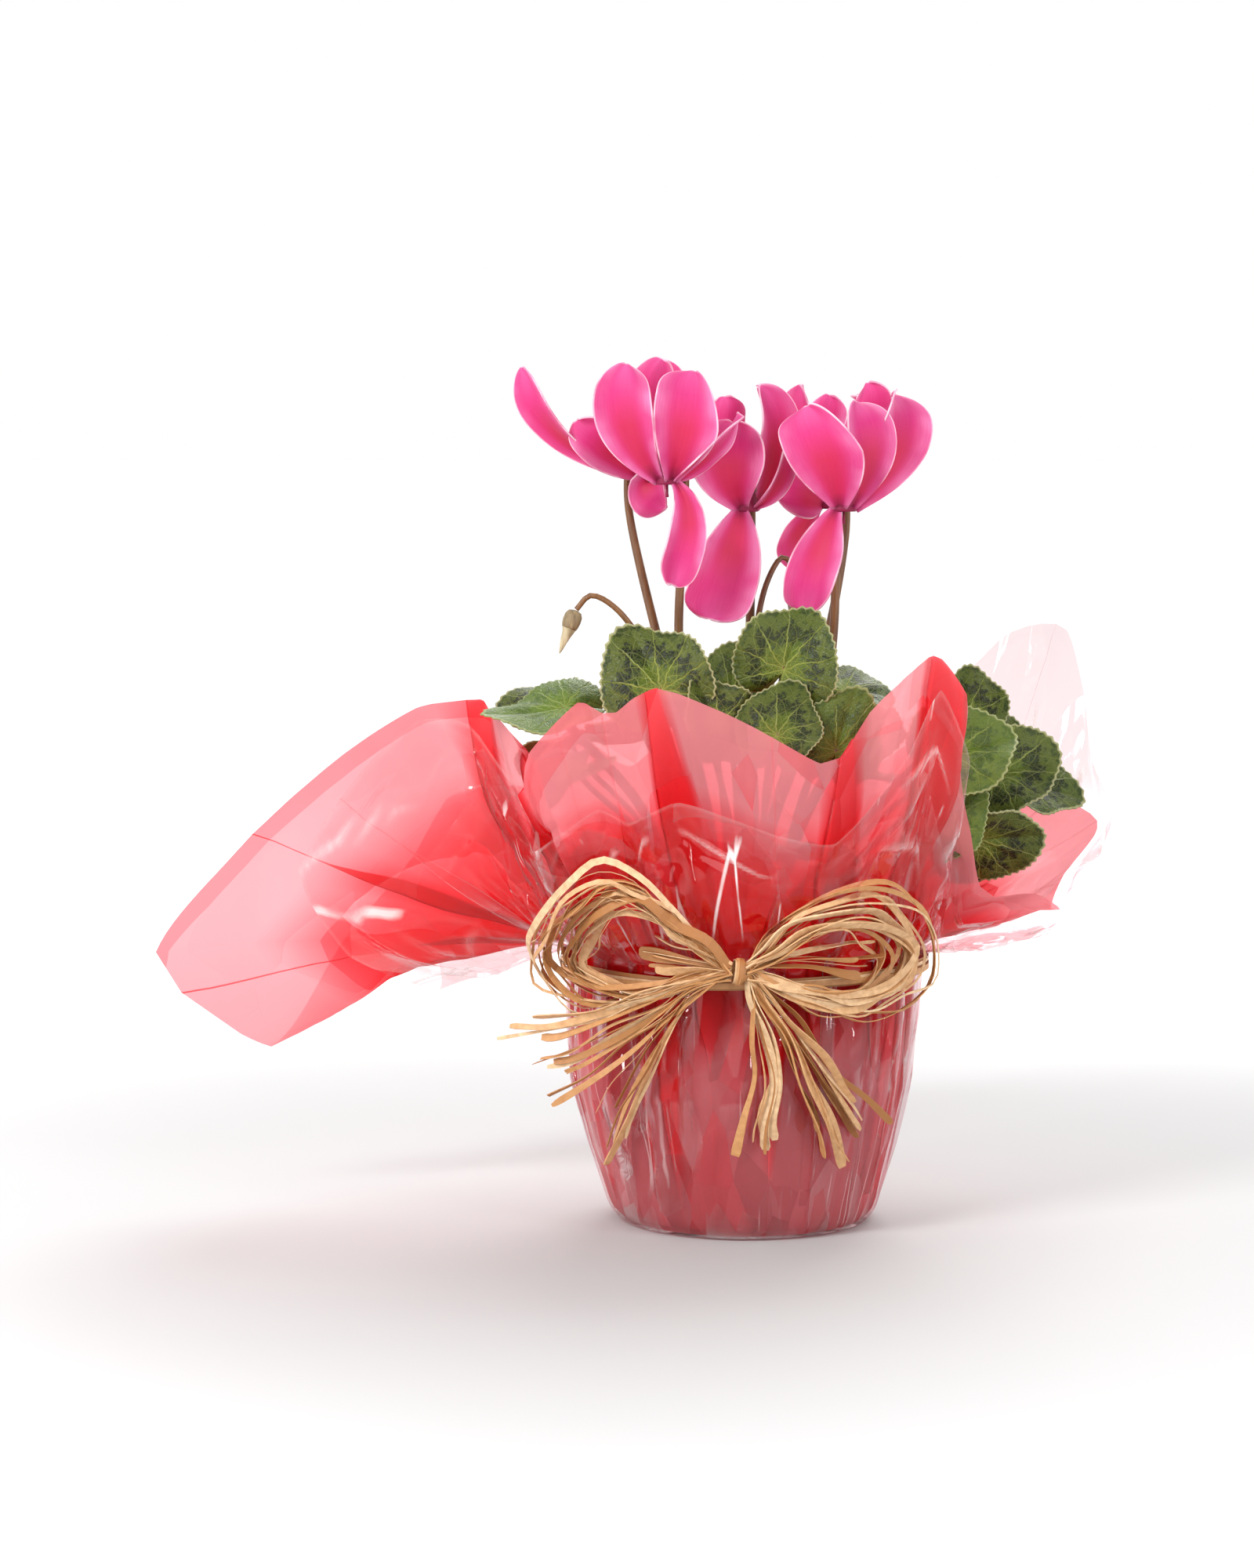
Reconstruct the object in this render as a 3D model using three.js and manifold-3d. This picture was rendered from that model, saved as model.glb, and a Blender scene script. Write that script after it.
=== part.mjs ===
// A florist's cyclamen in its growing pot, gift-wrapped in two sheets of film and tied with a raffia bow.
// Millimetres, +Z up, front towards -Y, origin at the middle of the wrapped base.
import * as THREE from "three";
import { mergeVertices } from "three/addons/utils/BufferGeometryUtils.js";
import Module from "manifold-3d";

const wasm = await Module();
wasm.setup();

// ---- Driving dimensions ----------------------------------------------------------------------
const GAP = 0.3; // between pieces that touch
const FILM = 0.6; // film thickness
const SHEET_GAP = 0.5; // between the two sheets where they lie on each other
const FILM_BASE_Z = 2 * FILM + SHEET_GAP; // inner face of the inner sheet, under the pot
const SHEET_SPREAD = 3; // how far the sheets part towards their edges
const NECK_Z = 101; // where the film flares out above the tie
const NECK_R = 62.4;
const PLEAT_DEPTH = 1.1;
const RUFFLE_STEPS = 4;

const POT_BASE_R = 42.5;
const POT_LIP_R = 59.2;
const POT_HEIGHT = 101;
const POT_LIP_BAND = 12;
const POT_WALL = 1.6;
const POT_BOTTOM_Z = FILM_BASE_Z + GAP;
const DRAIN_HOLES = 6;
const DRAIN_HOLE_R = 4;
const SOIL_TOP_Z = 89;

const CORM_R = 25;
const CORM_HALF_HEIGHT = 12;
const CORM_Z = 85;
const ROOT_DEPTH = 7; // how deep each stem stands in its hole
const PETIOLE_R = 1.15;
const STALK_R = 1.6;

const BLADE = 0.6; // leaf and petal thickness
const MARGIN_POINTS = 18; // round a leaf, a tooth at every other one
const PETAL_ROWS = [0, 0.3, 0.58, 0.84, 1]; // along a petal
const TUBE_R = 4.2;
const TUBE_LENGTH = 7;

const TIE_Z = 95.5;
const TIE_HALF_HEIGHT = 2.4;
const KNOT = [-4, -73.5, 101];
const KNOT_HALF_SIZE = [1.9, 3.4, 4.4];
const HUB_R = 2; // where the strips gather beside the knot
const KNOT_HUB = KNOT_HALF_SIZE[0] + GAP + HUB_R;
const FIBRE_WIDTH = 2.6;
const FIBRE_THICKNESS = 0.9;

// ---- Materials ---------------------------------------------------------------------------------
const finish = (color, roughness, more = {}) =>
  new THREE.MeshStandardMaterial({ color, roughness, metalness: 0, side: THREE.DoubleSide, ...more });
const MATERIALS = {
  redFilm: finish("#f0505c", 0.35, { transparent: true, opacity: 0.6 }),
  clearFilm: finish("#f6e4e4", 0.08, { transparent: true, opacity: 0.25 }),
  pot: finish("#7c3b2c", 0.55),
  soil: finish("#2e2119", 0.95),
  corm: finish("#5b4030", 0.9),
  leaf: finish("#3f6b2c", 0.6),
  stalk: finish("#7a4a2c", 0.5),
  petal: finish("#ec3f8d", 0.5),
  bud: finish("#b9a58c", 0.6),
  raffia: finish("#cf9450", 0.7),
};

// ---- Small helpers -----------------------------------------------------------------------------
const vec = (x, y, z) => new THREE.Vector3(x, y, z);
const rad = THREE.MathUtils.degToRad;
const UP = vec(0, 0, 1);

/** The horizontal direction at an azimuth: 0 is the front (-Y), 90 the right (+X). */
const radial = (azimuth) => vec(Math.sin(rad(azimuth)), -Math.cos(rad(azimuth)), 0);

/** A Manifold solid from a closed three.js geometry. */
function solidOf(geometry) {
  const bare = geometry.index ? geometry.toNonIndexed() : geometry;
  const positions = new THREE.BufferGeometry().setAttribute("position", bare.getAttribute("position"));
  const merged = mergeVertices(positions, 1e-3);
  return new wasm.Manifold(
    new wasm.Mesh({
      numProp: 3,
      vertProperties: merged.attributes.position.array,
      triVerts: new Uint32Array(merged.index.array),
    }),
  );
}

/** A three.js geometry from the largest piece of a Manifold solid. */
function geometryOf(solid) {
  const largest = solid.decompose().sort((a, b) => b.volume() - a.volume())[0];
  const mesh = largest.getMesh();
  const corners = new Float32Array(mesh.numVert * 3);
  for (let i = 0; i < mesh.numVert; i++)
    corners.set(mesh.vertProperties.subarray(i * mesh.numProp, i * mesh.numProp + 3), i * 3);
  const geometry = new THREE.BufferGeometry();
  geometry.setAttribute("position", new THREE.BufferAttribute(corners, 3));
  geometry.setIndex(new THREE.BufferAttribute(mesh.triVerts, 1));
  geometry.computeVertexNormals();
  return geometry;
}

const join = (solids) => wasm.Manifold.union(solids);

/** A geometry from a list of triangles, each of three points. */
function geometryOfTriangles(triangles) {
  const values = new Float32Array(triangles.flatMap((t) => t.flatMap((p) => [p.x, p.y, p.z])));
  return new THREE.BufferGeometry().setAttribute("position", new THREE.BufferAttribute(values, 3));
}

/** Two triangles for the quad a b c d, which turns left as seen from outside. */
const quad = (a, b, c, d) => [
  [a, b, c],
  [a, c, d],
];

const flipped = (triangles) => triangles.map(([a, b, c]) => [a, c, b]);

/** The triangles of an open grid of points; "round" joins its last column to its first. */
function gridFaces(grid, round) {
  const columns = grid[0].length;
  const across = round ? columns : columns - 1;
  return grid.slice(1).flatMap((upper, i) =>
    Array.from({ length: across }, (_, j) => {
      const next = (j + 1) % columns;
      return quad(grid[i][j], grid[i][next], upper[next], upper[j]);
    }).flat(),
  );
}

/** The band that closes the space between two matching rows. */
function rimFaces(inner, outer, round) {
  const across = round ? inner.length : inner.length - 1;
  return Array.from({ length: across }, (_, j) => {
    const next = (j + 1) % inner.length;
    return quad(inner[j], outer[j], outer[next], inner[next]);
  }).flat();
}

/** Unit normals of a grid, on the side from which its rows go up and its columns go right. */
function gridNormals(grid, round) {
  const rows = grid.length;
  const columns = grid[0].length;
  return grid.map((row, i) =>
    row.map((_, j) => {
      const left = round ? (j + columns - 1) % columns : Math.max(j - 1, 0);
      const right = round ? (j + 1) % columns : Math.min(j + 1, columns - 1);
      const along = grid[Math.min(i + 1, rows - 1)][j].clone().sub(grid[Math.max(i - 1, 0)][j]);
      const across = row[right].clone().sub(row[left]);
      return across.cross(along).normalize();
    }),
  );
}

/** A grid moved along a matching grid of directions. */
const offsetGrid = (grid, directions, distance) =>
  grid.map((row, i) => row.map((p, j) => p.clone().addScaledVector(directions[i][j], distance)));

/** A thin leaf of material over an open grid, thickened along its normals. */
function sheetSolid(grid, thickness) {
  const outer = offsetGrid(grid, gridNormals(grid, false), thickness);
  const last = grid[0].length - 1;
  const side = (g, j) => g.map((row) => row[j]);
  return solidOf(
    geometryOfTriangles([
      ...gridFaces(outer, false),
      ...flipped(gridFaces(grid, false)),
      ...flipped(rimFaces(grid[0], outer[0], false)),
      ...rimFaces(grid.at(-1), outer.at(-1), false),
      ...rimFaces(side(grid, 0), side(outer, 0), false),
      ...flipped(rimFaces(side(grid, last), side(outer, last), false)),
    ]),
  );
}

/** A round stem along a smooth curve through the points. */
function tubeAlong(points, radius, sides, steps) {
  const section = new THREE.Shape(
    Array.from({ length: sides }, (_, k) => {
      const turn = (k / sides) * 2 * Math.PI;
      return new THREE.Vector2(radius * Math.cos(turn), radius * Math.sin(turn));
    }),
  );
  const path = new THREE.CatmullRomCurve3(points, false, "centripetal");
  return solidOf(new THREE.ExtrudeGeometry(section, { steps, extrudePath: path, bevelEnabled: false }));
}

const holes = []; // for the stems, in the corm

/** A stem along the points, whose hole in the corm is kept with its clearance. */
function stem(points, radius, sides, steps) {
  holes.push(tubeAlong(points, radius + GAP / Math.cos(Math.PI / sides), sides, steps));
  return tubeAlong(points, radius, sides, steps);
}

/** A body turned round the z axis from [radius, height] pairs. */
function turned(pairs, segments) {
  const profile = pairs.map(([r, z]) => new THREE.Vector2(r, z));
  return new THREE.LatheGeometry(profile, segments).rotateX(Math.PI / 2);
}

// ---- Pot, soil and corm ------------------------------------------------------------------------
const potRadius = (z) => THREE.MathUtils.mapLinear(z, 0, POT_HEIGHT, POT_BASE_R, POT_LIP_R - 2.2);

function buildPot() {
  const bandZ = POT_HEIGHT - POT_LIP_BAND;
  const floorZ = POT_BOTTOM_Z + POT_WALL;
  const shell = turned(
    [
      [0, POT_BOTTOM_Z],
      [POT_BASE_R, POT_BOTTOM_Z],
      [potRadius(bandZ), bandZ],
      [POT_LIP_R, bandZ],
      [POT_LIP_R, POT_HEIGHT],
      [POT_LIP_R - POT_WALL, POT_HEIGHT],
      [potRadius(bandZ) - POT_WALL, bandZ],
      [POT_BASE_R - POT_WALL, floorZ],
      [0, floorZ],
    ],
    32,
  );
  const drains = Array.from({ length: DRAIN_HOLES }, (_, k) => {
    const place = radial((k * 360) / DRAIN_HOLES).multiplyScalar(POT_BASE_R * 0.62);
    const hole = new THREE.CylinderGeometry(DRAIN_HOLE_R, DRAIN_HOLE_R, 10, 8).rotateX(Math.PI / 2);
    return solidOf(hole.translate(place.x, place.y, POT_BOTTOM_Z));
  });
  return solidOf(shell).subtract(join(drains));
}

const cormGeometry = (grow) =>
  new THREE.SphereGeometry(1, 14, 8)
    .rotateX(Math.PI / 2)
    .scale(CORM_R + grow, CORM_R + grow, CORM_HALF_HEIGHT + grow)
    .translate(0, 0, CORM_Z);

/** The soil fills the pot to just under its lip, dished where the corm sits in it. */
function buildSoil() {
  const floorZ = POT_BOTTOM_Z + POT_WALL + GAP;
  const inset = POT_WALL + GAP + 0.3;
  const fill = turned(
    [
      [0, floorZ],
      [POT_BASE_R - inset, floorZ],
      [potRadius(SOIL_TOP_Z - 2) - inset, SOIL_TOP_Z - 2],
      [CORM_R + 8, SOIL_TOP_Z],
      [0, SOIL_TOP_Z],
    ],
    24,
  );
  return solidOf(fill).subtract(solidOf(cormGeometry(GAP)));
}

/** Where a stem stands in the corm: its foot in the hole, and a point just clear of the corm. */
function rootPoints(azimuth, distance) {
  const skin = CORM_Z + CORM_HALF_HEIGHT * Math.sqrt(1 - (distance / CORM_R) ** 2);
  const foot = radial(azimuth).multiplyScalar(distance).setZ(skin - ROOT_DEPTH);
  const clear = radial(azimuth).multiplyScalar(distance * 1.1).setZ(skin + 4);
  return [foot, clear];
}

// ---- Leaves ------------------------------------------------------------------------------------
// Each leaf: where its stem joins the blade, the ways its tip points and its face looks, its width, where its
// stem stands in the corm [azimuth, distance], and how much its margin waves.
const LEAVES = [
  [[-31, -47, 197], [-0.45, 0, 0.9], [-0.1, -0.95, 0.3], 39, [326, 19], 2.2],
  [[-65, -30, 190], [-0.85, -0.25, 0.25], [-0.2, -0.5, 0.85], 38, [282, 19], 2.6],
  [[-70, 2, 190], [-0.9, 0.15, 0.2], [-0.3, -0.35, 0.9], 32, [265, 13], 1.6],
  [[-6, -17, 194], [0.15, 0.3, 0.9], [0.1, -0.8, 0.5], 30, [345, 13], 1.6],
  [[-11, -55, 184], [-0.1, -0.25, 0.9], [0.45, -0.8, 0.25], 28, [347, 19], 1.8],
  [[12, -43, 204], [0.4, 0, 0.9], [-0.05, -1, 0.12], 36, [20, 13], 1.4],
  [[37, 10, 193], [0.8, 0.2, 0.3], [0.15, -0.35, 0.93], 30, [135, 13], 1.6],
  [[9, -62, 182], [0.2, -0.1, 0.95], [-0.15, -0.9, 0.4], 31, [7, 19], 1.6],
  [[30, -56, 176], [0.3, 0, 0.9], [0.1, -0.9, 0.35], 32, [27, 19], 1.4],
  [[72, -24, 172], [0.9, -0.05, 0.35], [-0.1, -0.85, 0.5], 36, [46, 19], 1.5],
  [[82, 22, 182], [0.15, 0.1, 1], [0.2, -0.95, 0.2], 28, [105, 13], 1.2],
  [[92, 24, 170], [0.9, 0.2, 0.1], [0.1, -0.7, 0.7], 32, [136, 19], 1.4],
  [[93, 3, 163], [0.85, -0.15, 0.45], [-0.1, -0.75, 0.65], 35, [75, 13], 1.6],
  [[103, 18, 157], [0.95, 0.1, -0.05], [0.05, -0.6, 0.8], 32, [118, 19], 1.4],
  [[69, -30, 147], [0.55, -0.1, 0.7], [0.1, -0.9, 0.4], 30, [64, 19], 1.4],
  [[84, -11, 140], [0.9, 0.1, 0.15], [0.1, -0.75, -0.6], 34, [82, 19], 1.2],
  [[78, 14, 133], [0.95, 0.05, 0.15], [0, -0.7, 0.7], 30, [100, 19], 1.4],
  [[-60, -40, 169], [-0.6, -0.5, -0.05], [-0.3, -0.55, 0.8], 30, [304, 19], 1.8],
  [[-64, 34, 172], [-0.8, 0.5, 0.1], [-0.4, 0.35, 0.85], 36, [240, 19], 1.6],
  [[-38, 62, 178], [-0.5, 0.8, 0.2], [-0.25, 0.45, 0.85], 37, [210, 19], 1.8],
  [[4, 74, 170], [0.05, 0.95, 0.05], [0, 0.4, 0.9], 38, [184, 19], 1.6],
  [[44, 60, 178], [0.5, 0.8, 0.15], [0.25, 0.4, 0.88], 36, [160, 19], 1.8],
  [[20, 54, 130], [0.3, 0.8, 0.25], [0.1, 0.1, 0.98], 30, [178, 13], 1.6],
  [[-42, 44, 133], [-0.6, 0.6, 0.2], [-0.1, 0.1, 0.95], 33, [224, 13], 1.8],
  [[58, 38, 158], [0.7, 0.6, 0.1], [0.3, 0.3, 0.9], 34, [156, 13], 1.6],
  [[-54, -4, 134], [-0.9, -0.1, 0.2], [-0.1, -0.1, 0.95], 32, [290, 13], 1.8],
  [[-14, 34, 194], [-0.2, 0.7, 0.6], [-0.1, 0.6, 0.75], 34, [200, 13], 1.5],
].map(([at, tip, face, size, root, wave]) => ({ at, tip, face, size, root, wave }));

/** From the stem's joint to the margin of a leaf one wide: a heart, notched at its stem, with a short tip. */
function heart(turn) {
  const notch = 1 - 0.8 * Math.exp(-(((Math.PI - Math.abs(turn)) / 0.34) ** 2));
  const point = 0.07 * Math.exp(-((turn / 0.4) ** 2));
  return (0.5 + 0.08 * Math.cos(turn)) * notch + point;
}

function buildBlade(leaf, index) {
  const face = vec(...leaf.face).normalize();
  const tip = vec(...leaf.tip).projectOnPlane(face).normalize();
  const side = face.clone().cross(tip);
  const joint = vec(...leaf.at);
  const point = (turn, share, tooth, drop) => {
    const reach = heart(turn) * share * leaf.size * tooth;
    const relief = leaf.wave * Math.sin(3 * turn + index) * share ** 2 - 0.09 * leaf.size * share ** 2;
    return joint
      .clone()
      .addScaledVector(tip, reach * Math.cos(turn))
      .addScaledVector(side, reach * Math.sin(turn))
      .addScaledVector(face, relief - drop);
  };
  const inner = MARGIN_POINTS / 2;
  const turnOf = (k, count) => 2 * Math.PI * (k / count - 0.5);
  const round = (count, share, toothOf, drop) =>
    Array.from({ length: count }, (_, k) => point(turnOf(k, count), share, toothOf(k), drop));
  const layer = (drop) => ({
    hub: point(0, 0, 1, drop),
    ring: round(inner, 0.55, () => 1, drop),
    rim: round(MARGIN_POINTS, 1, (k) => (k % 2 ? 1.05 : 0.97), drop),
  });
  const faces = ({ hub, ring, rim }) =>
    ring.flatMap((p, k) => {
      const next = ring[(k + 1) % inner];
      const [a, b, c] = [rim[2 * k], rim[2 * k + 1], rim[(2 * k + 2) % MARGIN_POINTS]];
      return [
        [hub, p, next],
        [p, a, b],
        [p, b, next],
        [next, b, c],
      ];
    });
  const upper = layer(0);
  const lower = layer(BLADE);
  const edge = rimFaces(upper.rim, lower.rim, true);
  return solidOf(geometryOfTriangles([...faces(upper), ...flipped(faces(lower)), ...edge]));
}

/** The stem of a leaf: out of the corm, up and over to the under side of the blade. */
function petiolePoints(leaf) {
  const joint = vec(...leaf.at).addScaledVector(vec(...leaf.face).normalize(), -BLADE / 2);
  const elbow = vec(joint.x, joint.y, 0)
    .multiplyScalar(0.56)
    .setZ(THREE.MathUtils.lerp(SOIL_TOP_Z, joint.z, 0.62));
  const under = joint.clone().addScaledVector(vec(...leaf.face).normalize(), -6);
  return [...rootPoints(...leaf.root), elbow, under, joint];
}

// ---- Flowers -----------------------------------------------------------------------------------
// Each bloom: its mouth, the azimuth behind the mouth where its stalk comes up, the stalk's course and root
// azimuth, and its petals, whose middle and tip are relative to the mouth.
const BLOOMS = [
  {
    name: "front_left",
    mouth: [-28.7, -20, 268.7],
    entry: 135,
    root: 290,
    stalk: [[-12, -4, 140], [-24, -12, 205]],
    petals: [
      { middle: [-14, -11, 21], tip: [-14.5, -10, 43], face: [-0.35, -1, 0.1], width: 21, twist: 10 },
      { middle: [5.5, -12, 20], tip: [9.5, -10, 40.5], face: [0.25, -1, 0.1], width: 24, twist: -12 },
      { middle: [13, -8, 9.5], tip: [27, -8, 24], face: [0.45, -0.6, -0.7], width: 14, twist: 15 },
      { middle: [-8, 10, 22], tip: [-3, 15, 45], face: [-0.5, 1, 0.1], width: 21, twist: 0 },
      { middle: [7.5, -8, -14], tip: [1.5, -7, -36], face: [0.35, -1, 0], width: 14, twist: 25 },
    ],
  },
  {
    name: "back_left",
    mouth: [-34, 15, 269],
    entry: 248,
    root: 245,
    stalk: [[-12, 7, 140], [-30, 12, 205]],
    petals: [
      { middle: [-33, -7, 17], tip: [-47.5, -11, 41.5], face: [-0.6, -0.3, -0.7], width: 15, twist: 40 },
      { middle: [-15, -10, 11.5], tip: [-27, -14, 22.5], face: [-0.35, -1, 0.3], width: 18, twist: 0 },
      { middle: [-1, -8, -2], tip: [5, -10, -9.5], face: [0.1, -1, -0.6], width: 18, twist: 0 },
      { middle: [4, 9, 22], tip: [1, 12, 44.5], face: [0.2, 1, 0.1], width: 20, twist: 0 },
      { middle: [-9, 15, 17], tip: [-12, 22, 37], face: [-0.4, 0.9, 0], width: 20, twist: 0 },
    ],
  },
  {
    name: "middle",
    mouth: [0, -2, 258.7],
    entry: 165,
    root: 200,
    stalk: [[-2, 5, 140], [1.5, 6, 205]],
    petals: [
      { middle: [-6.5, -12, 16.5], tip: [-5, -10, 33], face: [-0.15, -1, 0.1], width: 27, twist: 0 },
      { middle: [11, 6, 24], tip: [5.5, 4, 45], face: [0.55, -0.8, 0.1], width: 19, twist: 0 },
      { middle: [-7, 9, 24], tip: [-8.5, 14, 41], face: [-0.4, 0.9, 0.1], width: 20, twist: 0 },
      { middle: [11.5, -7, 10.5], tip: [16.5, -4, 27], face: [0.6, -0.8, -0.2], width: 11, twist: 15 },
      { middle: [-5.5, -8, -15], tip: [-13, -12, -38.5], face: [-0.1, -1, -0.1], width: 24, twist: -15 },
    ],
  },
  {
    name: "front_right",
    mouth: [34.7, -13, 259],
    entry: 195,
    root: 110,
    stalk: [[9, -1, 140], [30, -2, 200]],
    petals: [
      { middle: [-7, -14, 19], tip: [-14, -13, 38], face: [-0.25, -1, 0.1], width: 27, twist: 8 },
      { middle: [8.5, -9, 21], tip: [4, -6, 40], face: [0.5, -0.85, 0.1], width: 20, twist: -10 },
      { middle: [19, 2, 23], tip: [19, 6, 43], face: [0.65, -0.7, 0.2], width: 24, twist: 0 },
      { middle: [8, 13, 26], tip: [9.5, 19, 45.5], face: [0.2, 1, 0.1], width: 18, twist: 0 },
      { middle: [-9.5, -9, -15], tip: [-14, -10, -36], face: [-0.1, -1, 0], width: 19, twist: 15 },
    ],
  },
  {
    name: "back_right",
    mouth: [32, 32, 259],
    entry: 135,
    root: 155,
    stalk: [[9, 12, 140], [30, 32, 205]],
    petals: [
      { middle: [-8.5, -2, 24], tip: [-11.5, -3, 45.5], face: [-0.6, -0.8, 0.1], width: 17, twist: 0 },
      { middle: [-9, -8, 4], tip: [-20, -10, 5.5], face: [-0.2, -1, 0.3], width: 17, twist: 0 },
      { middle: [9, 1, 20], tip: [12, 4, 42], face: [0.8, -0.5, 0.1], width: 20, twist: 0 },
      { middle: [-3, 16, 23], tip: [0, 22, 42], face: [-0.2, 0.9, 0.1], width: 20, twist: 0 },
      { middle: [-11.5, 5, -11], tip: [-14.5, 8, -24], face: [-0.6, -0.8, 0], width: 14, twist: 10 },
    ],
  },
];

/** Width of a petal along its length: narrow at the tube, widest past the middle, round at the tip. */
function petalWidth(u) {
  const widest = 0.62;
  if (u < widest) return 0.22 + 0.78 * Math.sin(((u / widest) * Math.PI) / 2);
  return Math.sqrt(1 - ((u - widest) / 0.405) ** 2);
}

function buildPetal(mouth, petal) {
  const middle = mouth.clone().add(vec(...petal.middle));
  const tip = mouth.clone().add(vec(...petal.tip));
  const outward = vec(petal.middle[0], petal.middle[1], 0).normalize();
  const root = mouth.clone().addScaledVector(outward, TUBE_R * 0.84).addScaledVector(UP, 1.2);
  const bend = middle.clone().multiplyScalar(2).addScaledVector(root, -0.5).addScaledVector(tip, -0.5);
  const line = new THREE.QuadraticBezierCurve3(root, bend, tip);
  const face = vec(...petal.face).normalize();
  const grid = PETAL_ROWS.map((u) => {
    const tangent = line.getTangent(u);
    const side = face.clone().applyAxisAngle(tangent, rad(petal.twist * u)).cross(tangent).normalize();
    const normal = tangent.clone().cross(side);
    const half = (petalWidth(u) * petal.width) / 2;
    return [-1, -0.5, 0, 0.5, 1].map((v) =>
      line
        .getPoint(u)
        .addScaledVector(side, -half * v)
        .addScaledVector(normal, 0.3 * half * v * v),
    );
  });
  return sheetSolid(grid, BLADE);
}

function buildCorolla(bloom) {
  const mouth = vec(...bloom.mouth);
  const tube = new THREE.CylinderGeometry(TUBE_R * 0.8, TUBE_R * 1.1, TUBE_LENGTH, 6).rotateX(Math.PI / 2);
  const solid = solidOf(tube.translate(mouth.x, mouth.y, mouth.z + TUBE_LENGTH / 2));
  return join([solid, ...bloom.petals.map((petal) => buildPetal(mouth, petal))]);
}

/** A point behind a bloom's mouth, on the side its stalk comes up. */
const behind = (bloom, out, up) =>
  vec(...bloom.mouth).addScaledVector(radial(bloom.entry), out).addScaledVector(UP, up);

/** The straight length of the stalk: out of the corm and up behind the mouth. */
const stalkPoints = (bloom) => [
  ...rootPoints(bloom.root, 8),
  ...bloom.stalk.map((p) => vec(...p)),
  behind(bloom, 9, -10),
  behind(bloom, 9.5, 8),
];

/** The hook at its top, over and down to the calyx on the tube. */
const HOOK = [[9.45, 6], [9.3, 12], [7.4, 17.5], [4.4, 19.5], [1.5, 17.5], [0, 12]];
const hookPoints = (bloom) => HOOK.map(([out, up]) => behind(bloom, out, up));

function buildStalk(bloom) {
  const mouth = vec(...bloom.mouth);
  const calyx = new THREE.ConeGeometry(TUBE_R * 0.7, 6, 8).rotateX(Math.PI / 2);
  const cup = solidOf(calyx.translate(mouth.x, mouth.y, mouth.z + TUBE_LENGTH + GAP + 3));
  const length = stem(stalkPoints(bloom), STALK_R, 5, 8);
  return join([length, tubeAlong(hookPoints(bloom), STALK_R, 5, 7), cup]);
}

// Young flowers still closed: the crook of each stalk, its root azimuth, and the bud that hangs from it.
const BUDS = [
  {
    name: "left",
    root: 320,
    crook: [[-13, -9, 135], [-34, -26, 205], [-47, -30, 225], [-56, -30, 229.5], [-61, -30, 224.5]],
    bud: { from: [-61, -30, 224.8], to: [-67, -31, 209], radius: 4 },
  },
  {
    name: "middle",
    root: 20,
    crook: [[4, -2, 140], [3, 2, 205], [8, 4, 233], [14, 7, 242], [18, 8, 237.5]],
    bud: { from: [18, 8, 237], to: [17, 10, 219], radius: 4.4 },
  },
  {
    name: "low",
    root: 65,
    crook: [[14, -12, 130], [28, -38, 182], [35, -43, 193], [42, -43, 193], [46, -43, 187.5]],
    bud: { from: [46, -43, 187], to: [48, -45, 173], radius: 3.6 },
  },
];

const budStalkPoints = (bud) => [...rootPoints(bud.root, 8), ...bud.crook.map((p) => vec(...p))];

/** A closed bud: a pointed, slightly swollen spindle that hangs from its stalk's end. */
function buildBud({ from, to, radius }) {
  const start = vec(...from);
  const along = vec(...to).sub(start);
  const length = along.length();
  const profile = [
    [0, 1],
    [radius * 0.8, 1.8],
    [radius, length * 0.3],
    [radius * 0.45, length * 0.7],
    [0, length],
  ].map(([r, y]) => new THREE.Vector2(r, y));
  const spindle = new THREE.LatheGeometry(profile, 8);
  spindle.applyQuaternion(new THREE.Quaternion().setFromUnitVectors(vec(0, 1, 0), along.normalize()));
  return solidOf(spindle.translate(start.x, start.y, start.z));
}

// ---- Film --------------------------------------------------------------------------------------
// The folds of the inner, coloured sheet above the tie: azimuth at the tie, the fold's end at the free edge,
// and how far up the fold the outer, clear sheet reaches.
const FOLDS = [
  [0, -9, -100, 192, 0.62], [10, 10, -97, 182, 0.62], [20, 27, -88, 174, 0.64], [30, 40, -82, 190, 0.66],
  [40, 52, -80, 203, 0.75], [48, 63, -76, 211, 0.9], [56, 75, -66, 194, 0.8], [63, 73, -58, 174, 0.7],
  [70, 77, -48, 151, 0.66], [77, 84, -38, 123, 0.64], [84, 104, -22, 122, 0.76], [90, 115, -8, 114, 0.9],
  [97, 113, 8, 112, 1], [104, 120, 25, 122, 1], [111, 133, 38, 135, 0.9], [118, 134, 48, 142, 1],
  [126, 121, 62, 150, 1], [135, 106, 84, 162, 1], [144, 88, 90, 150, 1], [153, 70, 108, 166, 0.95],
  [162, 46, 108, 152, 0.9], [171, 26, 122, 170, 1], [180, 4, 114, 154, 0.86], [189, -20, 122, 172, 0.9],
  [198, -42, 108, 156, 0.9], [207, -66, 110, 170, 0.9], [216, -82, 92, 150, 0.9], [226, -108, 84, 152, 0.9],
  [236, -126, 62, 124, 0.86], [243, -150, 44, 96, 0.8], [250, -176, 25, 59, 0.72],
  [258, -216, -5, 95, 0.66], [265, -182, -12, 138, 0.8], [271, -145, -15, 171, 0.92],
  [277, -119, -14, 188, 0.96], [284, -99, -18, 191, 0.92], [291, -88, -35, 184, 0.86],
  [299, -74, -60, 170, 0.8], [309, -80, -86, 163, 0.7], [318, -76, -98, 178, 0.66],
  [326, -60, -94, 196, 0.62], [334, -49, -88, 191, 0.6], [342, -40, -94, 198, 0.6], [350, -31, -99, 201, 0.62],
].map(([azimuth, x, y, z, clearShare]) => ({ azimuth, edge: vec(x, y, z), clearShare }));
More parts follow.
